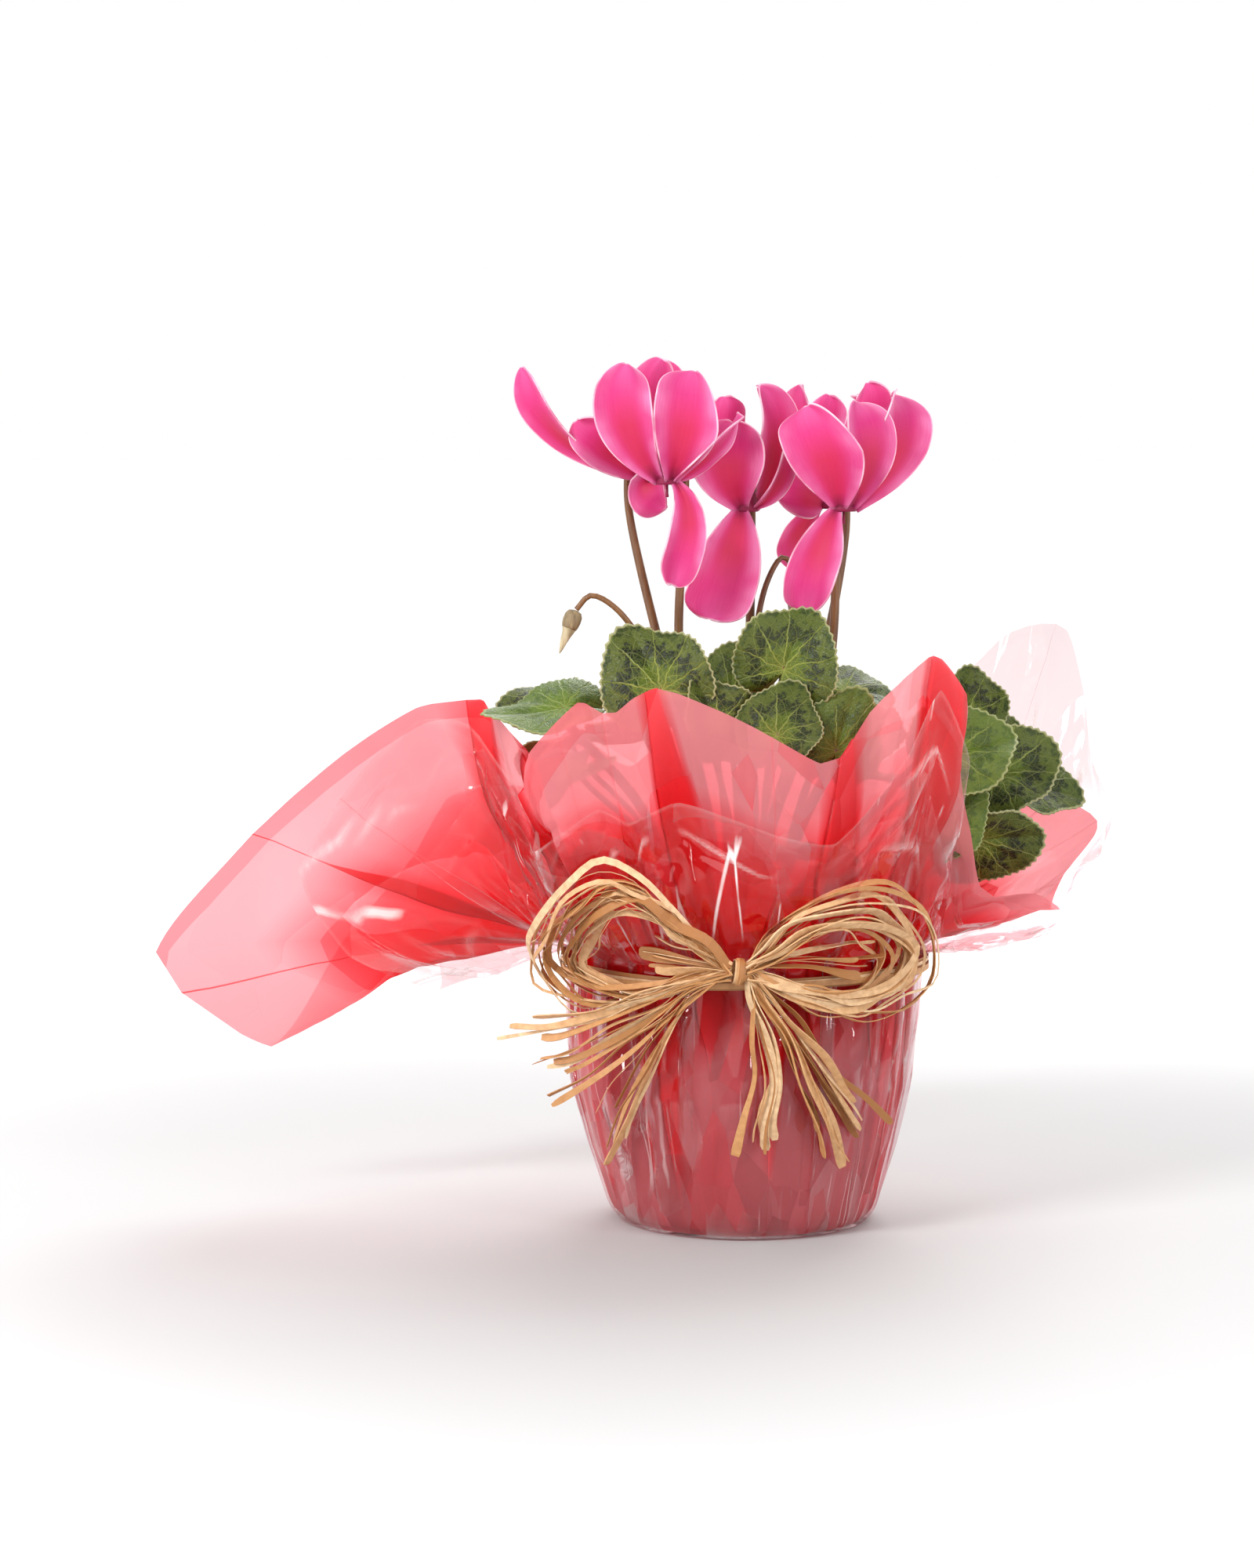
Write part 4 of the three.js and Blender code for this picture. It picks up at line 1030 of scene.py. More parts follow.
@dataclass
class Leaf:
    """One heart-shaped leaf: a puckered, toothed blade."""

    number: int  # its place in the table, which turns its waves
    joint: Point  # where the stem meets the blade
    tip: Point  # the way its tip points
    face: Point  # the way its upper face looks
    size: float
    wave: float  # how much its margin waves
    thickness: float = 0.6
    columns: int = 184
    teeth: int = 46
    tooth_depth: float = 0.038  # how deep they are, as a share of the reach
    droop: float = 0.09  # how far the margin hangs, as a share of the width
    ripple: float = 0.4
    pucker: float = 0.9  # how high the fields between the veins stand
    sunk: float = 0.4
    # The least and greatest slope to both sides of the middle vein.
    folds: tuple[float, float] = (0.06, 0.46)
    roll: float = 0.26  # the greatest slope of one side of the margin
    # The angles between the main veins and the tip, in radians.
    vein_turns: tuple = (0.0, 0.52, -0.52, 1.08, -1.08, 1.7, -1.7, 2.4, -2.4)
    fork: float = 0.17  # the angle between a vein and its forks

    def outline(self, turn: Array) -> Array:
        """From the joint to the margin of a leaf one wide: a heart, notched at its stem, short at its tip."""
        notch = 1 - 0.8 * np.exp(-(((np.pi - np.abs(turn)) / 0.34) ** 2))
        return (0.5 + 0.08 * np.cos(turn)) * notch + 0.13 * np.exp(-((turn / 0.34) ** 2))

    def veins(self, turn: Array, share: Array) -> Array:
        """How near each point is to a main vein or one of its forks.

        Args:
            turn: angles from the tip.
            share: places from the joint to the margin.

        Returns:
            A number from 0 to 1 for each point.
        """
        reach = self.outline(turn) * share * self.size
        near = np.zeros_like(turn * share)
        for k, vein in enumerate(self.vein_turns):
            for fork in (-self.fork, 0.0, self.fork):
                opened = vein + fork * smoothstep(0.3 + 0.05 * (k % 3), 1.0, share)
                away = np.abs(np.arctan2(np.sin(turn - opened), np.cos(turn - opened))) * reach
                width = 0.75 - 0.35 * share
                near = np.maximum(near, np.exp(-((away / width) ** 2)) * (1 - 0.5 * share**2))
        return near

    def relief(self, turn: Array, share: Array, reach: Array, near: Array, rng: np.random.Generator) -> Array:
        """How far the blade stands off a flat one: waves, drooping margin, puckers, sunk veins and a fold.

        Args:
            turn: angles from the tip.
            share: places from the joint to the margin.
            reach: distances from the joint.
            near: how near each point is to a vein.
            rng: draws the fold.

        Returns:
            The rises towards the leaf's face.
        """
        lobes = 0.5 - 0.5 * np.cos(turn * len(self.vein_turns))
        rise = self.wave * np.sin(3 * turn + self.number) * share**2
        rise -= self.droop * self.size * share**2
        rise += self.ripple * np.sin(7 * turn + 2 * self.number) * share**3
        rise += self.pucker * lobes * share * (1 - share) * 2 - self.sunk * near * (1 - 0.6 * share)
        fold, roll, start = rng.uniform(*self.folds), rng.uniform(-self.roll, self.roll), rng.uniform(0, 6)
        rise += fold * reach * np.abs(np.sin(turn)) + roll * reach * np.sin(turn + start) * share
        return rise + 0.9 * np.sin(5 * turn + start) * share**3

    def surface(self) -> Surface:
        """The closed blade.

        Returns:
            Its surface, with the under side as finish slot 1 and the traits share, vein and tone.
        """
        share = np.r_[np.linspace(0.06, 0.9, 13), 0.94, 0.97, 0.985, 1][:, None]
        turn = np.linspace(-np.pi, np.pi, self.columns, endpoint=False)[None, :]
        saw = np.abs(np.mod(turn * self.teeth / (2 * np.pi), 1) * 2 - 1)
        tooth = 1 + self.tooth_depth * saw * share**8
        uneven = 0.05 * np.sin(2 * turn + self.number) + 0.035 * np.sin(5 * turn + 2 * self.number)
        reach = self.outline(turn) * share * self.size * tooth * (1 + uneven * share)
        near = self.veins(turn, share)
        rng = np.random.default_rng(self.number)
        rise = self.relief(turn, share, reach, near, rng)
        face = unit(np.array(self.face, float))
        tip = np.array(self.tip, float)
        tip = unit(tip - face * (tip @ face))
        side = np.cross(face, tip)
        flat = np.stack([reach * np.cos(turn), reach * np.sin(turn)], axis=-1)
        ring = np.array(self.joint, float) + flat[..., :1] * tip + flat[..., 1:] * side
        ring = ring + rise[..., None] * face
        hub = np.array(self.joint, float) - 0.3 * face
        rows, columns = ring.shape[:2]
        upper = np.vstack([hub, ring.reshape(-1, 3)])
        count = len(upper)
        fan = [[0, 1 + k, 1 + (k + 1) % columns] for k in range(columns)]
        top = fan + (grid_faces(rows, columns, closed=True)[:, [0, 3, 2, 1]] + 1).tolist()
        under = [[i + count for i in reversed(quad)] for quad in top]
        edge = 1 + (rows - 1) * columns + np.arange(columns)
        ahead = np.roll(edge, -1)
        rim = np.stack([edge, edge + count, ahead + count, ahead], axis=-1).tolist()
        uv = np.vstack([[0.5, 0.5], flat.reshape(-1, 2) / self.size * 0.8 + 0.5])
        shares = np.r_[0, np.broadcast_to(share, (rows, columns)).ravel()]
        traits = {
            "share": np.tile(shares, 2),
            "vein": np.tile(np.r_[1, near.ravel()], 2),
            "tone": np.full(2 * count, rng.uniform()),
        }
        slots = [0] * len(top) + [1] * len(under) + [0] * len(rim)
        points = np.vstack([upper, upper - self.thickness * face])
        return Surface(points, top + under + rim, np.vstack([uv, uv]), traits, slots)


@dataclass
class Corm:
    """The tuber that all stems grow from, half out of the soil."""

    radius: float = 25.0
    half_height: float = 12.0
    height: float = 85.0  # where its middle is
    root_depth: float = 7.0
    lumps: int = 26
    lump: float = 0.05  # how high and how broad they are on a corm of radius one
    within: float = 0.965  # the skin's radius between the lumps, as a share of the corm's

    def root(self, azimuth: float, distance: float) -> list[Array]:
        """Where a stem stands in the corm.

        Args:
            azimuth: the side that it stands on.
            distance: how far it stands from the corm's middle.

        Returns:
            Its foot in the hole, and a point just clear of the corm.
        """
        skin = self.height + self.half_height * math.sqrt(1 - (distance / self.radius) ** 2)
        foot = radial(azimuth) * distance + [0, 0, skin - self.root_depth]
        clear = radial(azimuth) * distance * 1.1 + [0, 0, skin + 4]
        return [foot, clear]

    def dress(self) -> None:
        """A lumpy, corky body in the corm's place."""
        rng = np.random.default_rng(5)
        tilt = np.radians(np.linspace(-88, 88, 40))
        body = turned([(math.cos(t), math.sin(t)) for t in tilt], 64)
        swell = np.zeros(len(body.points))
        for way in unit(rng.normal(size=(self.lumps, 3))):
            swell += self.lump * np.exp(-((1 - body.points @ way) / self.lump))
        scaled = body.points * (self.within + swell[:, None])
        body.points = scaled * [self.radius, self.radius, self.half_height] + [0, 0, self.height]
        dressed("corm_skin", body.mesh("corm_skin"), [Plain.CORK.value], "corm", "corm")


@dataclass
class Foliage:
    """All the leaves with their stems."""

    corm: Corm
    soil_top: float = 89.0
    petiole_radius: float = 1.15
    # Where a stem's elbow is, as a share of the way out and of the way up.
    lean: tuple[float, float] = (0.56, 0.62)

    def petiole(self, joint: Point, face: Point, root: tuple[float, float]) -> Strand:
        """The stem of a leaf: out of the corm, up and over to the under side of the blade.

        Args:
            joint: where it meets the blade.
            face: the way the blade's upper face looks.
            root: its azimuth and distance in the corm.

        Returns:
            The stem.
        """
        look = unit(np.array(face, float))
        end = np.array(joint, float) - 0.3 * look
        out, up = self.lean
        elbow = end * [out, out, 0] + [0, 0, self.soil_top + (end[2] - self.soil_top) * up]
        points = [*self.corm.root(*root), elbow, end - 6 * look, end]
        return Strand.tapered(points, 36, [0, 0.8, 1], [1.1, 0.92, 1.0])

    def dress(self) -> None:
        """A piece for each blade, and one for all their stems."""
        stems = []
        for number, (joint, tip, face, size, root, wave) in enumerate(LEAVES):
            name = f"leaf_{number + 1:02d}"
            mesh = Leaf(number, joint, tip, face, size, wave).surface().mesh(f"{name}_blade")
            dressed(f"{name}_blade", mesh, [LeafBlade(), LeafUnder()], "leaf", name)
            stems.append(self.petiole(joint, face, root))
        dress_stems("leaf_stems", self.petiole_radius, 10, stems)


# ---- Flowers ----
@dataclass
class Petal:
    """One petal, from the rim of the tube through its middle to its tip, relative to the mouth."""

    middle: Point  # a point halfway along it
    tip: Point
    face: Point  # the way its outer face looks
    width: float
    twist: float = 0.0  # how far it turns from root to tip, in degrees
    curl: float = 1.9  # how far its tip rolls over, along its face
    cup: float = 0.3  # how much its sides lift off its middle, as a share of its half width
    thickness: float = 0.6
    widest: float = 0.62
    blunt: float = 2.5  # how square its tip is
    ripple: float = 1.1
    swell: float = 0.5
    groove: float = 0.25
    rim: float = 1.0  # how wide its pale margin is

    def half_width(self, u: Array, skew: float) -> Array:
        """The width on one side of the petal: narrow at the tube, widest past the middle, blunt at the tip.

        Args:
            u: places from the tube to the tip.
            skew: between -1 and 1, moves the widest place towards the tip and squares the corner there.

        Returns:
            The distances from the middle line to the margin.
        """
        widest = self.widest + 0.12 * skew
        climb = 0.2 + 0.8 * np.sin(np.clip(u / widest, 0, 1) * np.pi / 2) ** 1.15
        beyond = np.clip((u - widest) / (1.004 - widest), 0, 1)
        return np.where(u < widest, climb, (1 - beyond ** (self.blunt + 1.5 * skew)) ** 0.6) * self.width / 2

    def relief(self, u: Array, v: Array, half: Array, skew: float, phase: float) -> Array:
        """How far each point stands off a flat petal: cupped sides, a rolled tip, ripples and a groove.

        Args:
            u: places from the tube to the tip.
            v: places from side to side, from -1 to 1.
            half: the half width there.
            skew: which corner of the tip rolls over.
            phase: turns the ripples.

        Returns:
            The rises.
        """
        rise = self.cup * half * v**2
        corner = np.clip(1 + 1.6 * np.sign(skew) * v * np.abs(v), 0, 3)
        rise = rise - self.curl * smoothstep(0.66, 1.0, u) ** 1.5 * corner
        rise = rise + self.ripple * np.sin(7 * u + 4 * phase + v) * np.abs(v) ** 3 * u
        rise = rise + self.swell * np.sin(5 * u + 3 * v + phase) * u
        return rise - self.groove * np.exp(-((v / 0.12) ** 2)) * (1 - u)

    def surface(self, mouth: Array, tube_radius: float, phase: float) -> Surface:
        """The closed petal.

        Args:
            mouth: the bloom's mouth.
            tube_radius: the radius of its tube.
            phase: turns its ripples, so that no two petals match.

        Returns:
            Its surface, with the trait margin.
        """
        middle, tip = mouth + self.middle, mouth + self.tip
        outward = unit(np.array([self.middle[0], self.middle[1], 0.0]))
        root = mouth + outward * tube_radius * 0.84 + [0, 0, 1.2]
        bend = 2 * middle - 0.5 * root - 0.5 * tip
        u = np.sin(np.linspace(0, 1, 34) * np.pi / 2)[:, None]
        v = np.sin(np.linspace(-1, 1, 25) * np.pi / 2)[None, :]
        line = (1 - u) ** 2 * root + 2 * u * (1 - u) * bend + u**2 * tip
        tangent = unit(2 * (1 - u) * (bend - root) + 2 * u * (tip - bend))
        face = np.broadcast_to(unit(np.array(self.face, float)), tangent.shape)
        turn = np.radians(self.twist) * u
        along = (face * tangent).sum(-1, keepdims=True) * tangent
        turned_face = along + (face - along) * np.cos(turn) + np.cross(tangent, face) * np.sin(turn)
        side = unit(np.cross(turned_face, tangent))
        normal = np.cross(tangent, side)
        skew = math.sin(2.3 * phase)
        half = np.where(v > 0, self.half_width(u, skew), self.half_width(u, -skew))
        rise = self.relief(u, v, half, skew, phase)
        grid = line[:, None] - side[:, None] * (half * v)[..., None] + normal[:, None] * rise[..., None]
        to_margin = np.minimum(half * (1 - np.abs(v)), (1 - u) * np.linalg.norm(np.array(self.tip)))
        margin = np.clip(1 - to_margin / self.rim, 0, 1) * smoothstep(0.1, 0.3, u)
        uv = np.stack([0.5 - v / 2 + 0 * u, u + 0 * v], axis=-1)
        return thick_sheet(grid, self.thickness, uv, {"margin": margin})


@dataclass
class Bloom:
    """One open flower: swept-back petals on a short tube, hung from a hooked stalk."""

    name: str
    mouth: Point
    entry: float  # the azimuth behind the mouth where its stalk comes up
    root: float  # the azimuth where the stalk stands in the corm
    stalk: list[Point]  # points on the stalk's course
    petals: list[Petal]
    tube_radius: float = 4.2
    tube_length: float = 7.0
    stalk_radius: float = 1.6
    stand: float = 8.0  # how far from the corm's middle the stalk stands
    # The stalk's last points, as distances behind the mouth and above it.
    hook: tuple = ((9, -10), (9.5, 4), (9.3, 12), (7.4, 17.5), (4.4, 19.5), (1.5, 17.5), (0, 12))

    def stem(self, corm: Corm) -> Strand:
        """The stalk out of the corm, up behind the mouth and over to the calyx.

        Args:
            corm: where it stands.

        Returns:
            The stalk.
        """
        over = [np.array(self.mouth, float) + radial(self.entry) * out + [0, 0, up] for out, up in self.hook]
        points = [*corm.root(self.root, self.stand), *self.stalk, *over]
        return Strand.tapered(points, 90, [0, 0.7, 0.92, 1], [1.25, 1.0, 0.8, 0.75])

    def surface(self) -> Surface:
        """The tube with its throat ring, the petals and the style.

        Returns:
            One surface with the trait margin.
        """
        mouth = np.array(self.mouth, float)
        parts = [petal.surface(mouth, self.tube_radius, k + mouth[0]) for k, petal in enumerate(self.petals)]
        top = self.tube_length
        wall = [(0.6, 0.4), (3.0, 0.0), (4.4, -0.1), (4.6, 0.8), (4.1, 2.5), (3.7, top - 1), (2.4, top)]
        tube = turned(wall, 20, mouth)
        style = turned([(0.5, -4.6), (0.7, -4.2), (0.5, -3.2), (0.45, 1.0)], 8, mouth)
        for part in (tube, style):
            part.traits["margin"] = np.zeros(len(part.points))
            part.uv = np.tile([0.5, 0.02], (len(part.points), 1))
        return Surface.joined([*parts, tube, style])

    def calyx(self) -> Surface:
        """The sepals, which hug the top of the tube.

        Returns:
            A cup with five ribs.
        """
        mouth = np.array(self.mouth, float)
        cup = turned([(1.5, 7.6), (3.1, 7.4), (3.9, 7.2), (3.4, 9.5), (3.0, 11.5), (2.2, 13.2)], 20, mouth)
        wide = np.array([1 + 0.1 * math.cos(5 * math.atan2(*(p - mouth)[:2])) for p in cup.points])
        cup.points[:, :2] = mouth[:2] + (cup.points[:, :2] - mouth[:2]) * wide[:, None]
        return cup


BLOOMS = [
    Bloom("front_left", (-28.7, -20, 268.7), 135, 290, [(-12, -4, 140), (-24, -12, 205)], [
        Petal((-14, -11, 21), (-14.5, -10, 43), (-0.35, -1, 0.1), 21, 10),
        Petal((5.5, -12, 20), (9.5, -10, 40.5), (0.25, -1, 0.1), 24, -12),
        Petal((13, -8, 9.5), (27, -8, 24), (0.45, -0.6, -0.7), 14, 15),
        Petal((-8, 10, 22), (-3, 15, 45), (-0.5, 1, 0.1), 21),
        Petal((7.5, -8, -14), (1.5, -7, -36), (0.35, -1, 0), 14, 25, widest=0.7, blunt=4.5),
    ]),
    Bloom("back_left", (-34, 15, 269), 248, 245, [(-12, 7, 140), (-30, 12, 205)], [
        Petal((-33, -7, 17), (-47.5, -11, 41.5), (-0.6, -0.3, -0.7), 15, 40),
        Petal((-15, -10, 11.5), (-27, -14, 22.5), (-0.35, -1, 0.3), 18),
        Petal((-1, -8, -2), (5, -10, -9.5), (0.1, -1, -0.6), 18),
        Petal((4, 9, 22), (1, 12, 44.5), (0.2, 1, 0.1), 20),
        Petal((-9, 15, 17), (-12, 22, 37), (-0.4, 0.9, 0), 20),
    ]),
    Bloom("middle", (0, -2, 258.7), 165, 200, [(-2, 5, 140), (1.5, 6, 205)], [
        Petal((-6.5, -12, 16.5), (-5, -10, 33), (-0.15, -1, 0.1), 27),
        Petal((11, 6, 24), (5.5, 4, 45), (0.55, -0.8, 0.1), 19),
        Petal((-7, 9, 24), (-8.5, 14, 41), (-0.4, 0.9, 0.1), 20),
        Petal((11.5, -7, 10.5), (16.5, -4, 27), (0.6, -0.8, -0.2), 11, 15),
        Petal((-5.5, -8, -15), (-13, -12, -38.5), (-0.1, -1, -0.1), 24, -15, widest=0.74, blunt=5.0),
    ]),
    Bloom("front_right", (34.7, -13, 259), 195, 110, [(9, -1, 140), (30, -2, 200)], [
        Petal((-7, -14, 19), (-14, -13, 38), (-0.25, -1, 0.1), 27, 8),
        Petal((8.5, -9, 21), (4, -6, 40), (0.5, -0.85, 0.1), 20, -10),
        Petal((19, 2, 23), (19, 6, 43), (0.65, -0.7, 0.2), 24),
        Petal((8, 13, 26), (9.5, 19, 45.5), (0.2, 1, 0.1), 18),
        Petal((-9.5, -9, -15), (-14, -10, -36), (-0.1, -1, 0), 19, 15, widest=0.7, blunt=4.5),
    ]),
    Bloom("back_right", (32, 32, 259), 135, 155, [(9, 12, 140), (30, 32, 205)], [
        Petal((-8.5, -2, 24), (-11.5, -3, 45.5), (-0.6, -0.8, 0.1), 17),
        Petal((-9, -8, 4), (-20, -10, 5.5), (-0.2, -1, 0.3), 17),
        Petal((9, 1, 20), (12, 4, 42), (0.8, -0.5, 0.1), 20),
        Petal((-3, 16, 23), (0, 22, 42), (-0.2, 0.9, 0.1), 20),
        Petal((-11.5, 5, -11), (-14.5, 8, -24), (-0.6, -0.8, 0), 14, 10),
    ]),
]  # fmt: skip


@dataclass
class Bud:
    """A young flower, still rolled shut, hung from a crooked stalk."""

    name: str
    root: float  # the azimuth where the stalk stands in the corm
    crook: list[Point]  # points on the stalk's course
    start: Point  # where the bud hangs from
    end: Point  # its point
    radius: float
    stalk_radius: float = 1.2
    stand: float = 8.0
    # The (place, radius) pairs of the rolled petals, both as shares.
    spindle: tuple = (
        (0, 0.55), (0.06, 0.8), (0.2, 1), (0.35, 0.93), (0.55, 0.6), (0.75, 0.4), (0.9, 0.22), (1, 0.05)
    )  # fmt: skip
    # The (radius, place) pairs of the calyx, both as shares.
    cup: tuple = ((0.3, 0), (0.75, 0.03), (1.02, 0.12), (1.05, 0.24), (0.97, 0.34), (0.86, 0.4), (0.7, 0.41))

    def stem(self, corm: Corm) -> Strand:
        """The crooked stalk."""
        points = [*corm.root(self.root, self.stand), *self.crook]
        return Strand.tapered(points, 70, [0, 0.8, 1], [1.2, 0.95, 0.8])

    def surface(self) -> Surface:
        """Petals rolled into a spindle, under the calyx.

        Returns:
            One surface, with the calyx as finish slot 1.
        """
        start, end = np.array(self.start, float), np.array(self.end, float)
        length = float(np.linalg.norm(end - start))
        steps = np.linspace(0, 1, 30)
        radii = np.interp(steps, *zip(*self.spindle)) * self.radius * 0.92
        profile = [(r, 1 + (length - 1) * s) for r, s in zip(radii, steps)]
        rolled = turned(profile, 30, start, end - start)
        axis = unit(end - start)
        away = rolled.points - start
        height = away @ axis
        across = away - height[:, None] * axis
        turn = rolled.uv[:, 0] * 2 * np.pi + height * 0.16
        rolled.points = start + height[:, None] * axis + across * (1 + 0.09 * np.cos(5 * turn))[:, None]
        cup = turned([(self.radius * r, 0.6 + length * h) for r, h in self.cup], 30, start, end - start)
        rolled.slots = [0] * len(rolled.faces)
        cup.slots = [1] * len(cup.faces)
        return Surface.joined([rolled, cup])


BUDS = [
    Bud("left", 320, [(-13, -9, 135), (-34, -26, 205), (-47, -30, 225), (-56, -30, 229.5), (-61, -30, 224.5)],
        (-61, -30, 224.8), (-67, -31, 209), 3.1),
    Bud("middle", 20, [(4, -2, 140), (3, 2, 205), (8, 4, 233), (14, 7, 242), (18, 8, 237.5)],
        (18, 8, 237), (17, 10, 219), 3.5),
    Bud("low", 65, [(14, -12, 130), (28, -38, 182), (35, -43, 193), (42, -43, 193), (46, -43, 187.5)],
        (46, -43, 187), (48, -45, 173), 3.0),
]  # fmt: skip


@dataclass
class Flowers:
    """The open blooms and the buds with their stalks."""

    corm: Corm

    def dress(self) -> None:
        """A piece for each bloom, calyx, stalk and bud."""
        for bloom in BLOOMS:
            name = f"bloom_{bloom.name}"
            dressed(f"{name}_petals", bloom.surface().mesh(name), [PetalSkin()], "petal", name)
            cup = bloom.calyx().mesh(f"calyx_{bloom.name}")
            dressed(f"calyx_{bloom.name}", cup, [Plain.CALYX.value], "stalk")
            stalks = [bloom.stem(self.corm)]
            dress_stems(f"stem_{bloom.name}", bloom.stalk_radius, 14, stalks, f"stalk_{bloom.name}")
        for bud in BUDS:
            name = f"bud_{bud.name}"
            finishes = [Plain.BUD.value, Plain.CALYX.value]
            dressed(f"{name}_closed", bud.surface().mesh(name), finishes, "bud", name)
            stalks = [bud.stem(self.corm)]
            dress_stems(f"stem_{name}", bud.stalk_radius, 12, stalks, f"bud_stalk_{bud.name}")


# ---- Pot and soil ----
@dataclass
class GrowingPot:
    """A thermoformed nursery pot with a banded lip and drain holes in its floor."""

    base_radius: float = 42.5
    lip_radius: float = 59.2
    taper_gap: float = 2.2  # how far the wall stays inside the lip at the top
    height: float = 101.0
    band: float = 12.0
    wall: float = 1.6
    bottom: float = 2.0
    drains: int = 6
    drain_radius: float = 4.0
    drain_place: float = 0.62  # their distance from the middle, as a share of the base's radius

    def wall_radius(self, z: float) -> float:
        """The outer radius of the tapered wall at a height."""
        return self.base_radius + (self.lip_radius - self.taper_gap - self.base_radius) * z / self.height

    def shell(self) -> Surface:
        """The wall with its rounded lip and band, and the floor.

        Returns:
            The pot without its drain holes.
        """
        base, lip, wall, floor, top = self.base_radius, self.lip_radius, self.wall, self.bottom, self.height
        band_z = top - self.band
        outside = [(3.0, floor), (base - 1.2, floor), (base - 0.1, floor + 1.2)]
        outside += [(self.wall_radius(30), 30), (self.wall_radius(60), 60)]
        outside += [(self.wall_radius(band_z) - 0.2, band_z - 0.8), (lip - 0.8, band_z), (lip, band_z + 0.8)]
        rolled = [(lip, top - 1.0), (lip - 0.4, top - 0.1), (lip - wall + 0.3, top), (lip - wall, top - 0.5)]
        inside = [(self.wall_radius(band_z) - wall, band_z), (self.wall_radius(45) - wall, 45)]
        inside += [(base - wall, floor + wall), (3.0, floor + wall)]
        return turned(outside + rolled + inside, 128)

    def dress(self) -> None:
        """The whole pot, its drain holes cut through the floor."""
        way = radial(np.arange(self.drains) * 360 / self.drains) * self.base_radius * self.drain_place
        reach = [(self.drain_radius, -6.0), (self.drain_radius, 6.0)]
        drills = Surface.joined([turned(reach, 24, spot + [0, 0, self.bottom]) for spot in way])
        blank = linked("pot_blank", self.shell().mesh("pot_blank"))
        cutter = linked("drills", drills.mesh("drills"))
        cut = blank.modifiers.new("drains", "BOOLEAN")
        cut.operation, cut.solver, cut.object = "DIFFERENCE", "EXACT", cutter
        mesh = settled(blank, "nursery_pot")
        bpy.data.objects.remove(cutter)
        mesh.set_sharp_from_angle(angle=math.radians(50))
        dressed("nursery_pot", mesh, [Plain.POT.value], "pot", "pot")


@dataclass
class Compost:
    """Peat compost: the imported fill, with loose crumbs scattered over its top."""

    radius: float = 53.0
    top: float = 89.0
    sunk: float = 2.2  # how much lower it is at the pot
    crumb: float = 1.3
    density: float = 170000.0  # how many crumbs lie on a square metre
    seed: int = 11
    least: Point = (0.3, 0.3, 0.3)  # the smallest crumb's size on each axis, as shares
    most: Point = (1.3, 1.0, 0.8)

    def growth(self) -> Growth:
        """The tree that scatters crumbs over the ground.

        Returns:
            The tree.
        """
        growth = Growth("compost_crumbs", {"Crumb": self.crumb * MM, "Density": self.density}, self.seed)
        add, given = growth.add, growth.given
        where = {"Mesh": given["Source"], "Density": given["Density"], "Seed": given["Seed"]}
        spots = add("GeometryNodeDistributePointsOnFaces", where)
        grain = add("GeometryNodeMeshIcoSphere", {"Radius": given["Crumb"], "Subdivisions": 1})
        size, turn = (
            add("FunctionNodeRandomValue", {**limits, "Seed": given["Seed"]}, data_type="FLOAT_VECTOR")
            for limits in ({0: self.least, 1: self.most}, {0: (0.0, 0.0, 0.0), 1: (6.28, 6.28, 6.28)})
        )
        scattered = {"Points": spots, "Instance": grain, "Rotation": turn, "Scale": size}
        growth.close(add("GeometryNodeInstanceOnPoints", scattered))
        return growth

    def dress(self, soil: bpy.types.Object, corm_radius: float) -> None:
        """Crumbs over the soil's top, and the peat finish on the soil itself.

        Args:
            soil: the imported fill.
            corm_radius: where the crumbs stop, short of the corm.
        """
        peat = Plain.PEAT.value
        turn = np.linspace(0, 2 * np.pi, 48, endpoint=False)
        rings = [(corm_radius, self.top), (corm_radius + 8, self.top), (self.radius, self.top - self.sunk)]
        ring = np.stack([np.cos(turn), np.sin(turn), 0 * turn], -1)
        points = np.vstack([ring * r + [0, 0, z] for r, z in rings])
        ground = Surface(points, grid_faces(3, 48, closed=True)[:, ::-1].tolist(), np.zeros((len(points), 2)))
        mesh = self.growth().mesh("compost_crumbs", ground.mesh("ground"), peat)
        dressed("compost_crumbs", mesh, [peat], "soil")
        soil.data.materials.clear()
        soil.data.materials.append(peat.material())


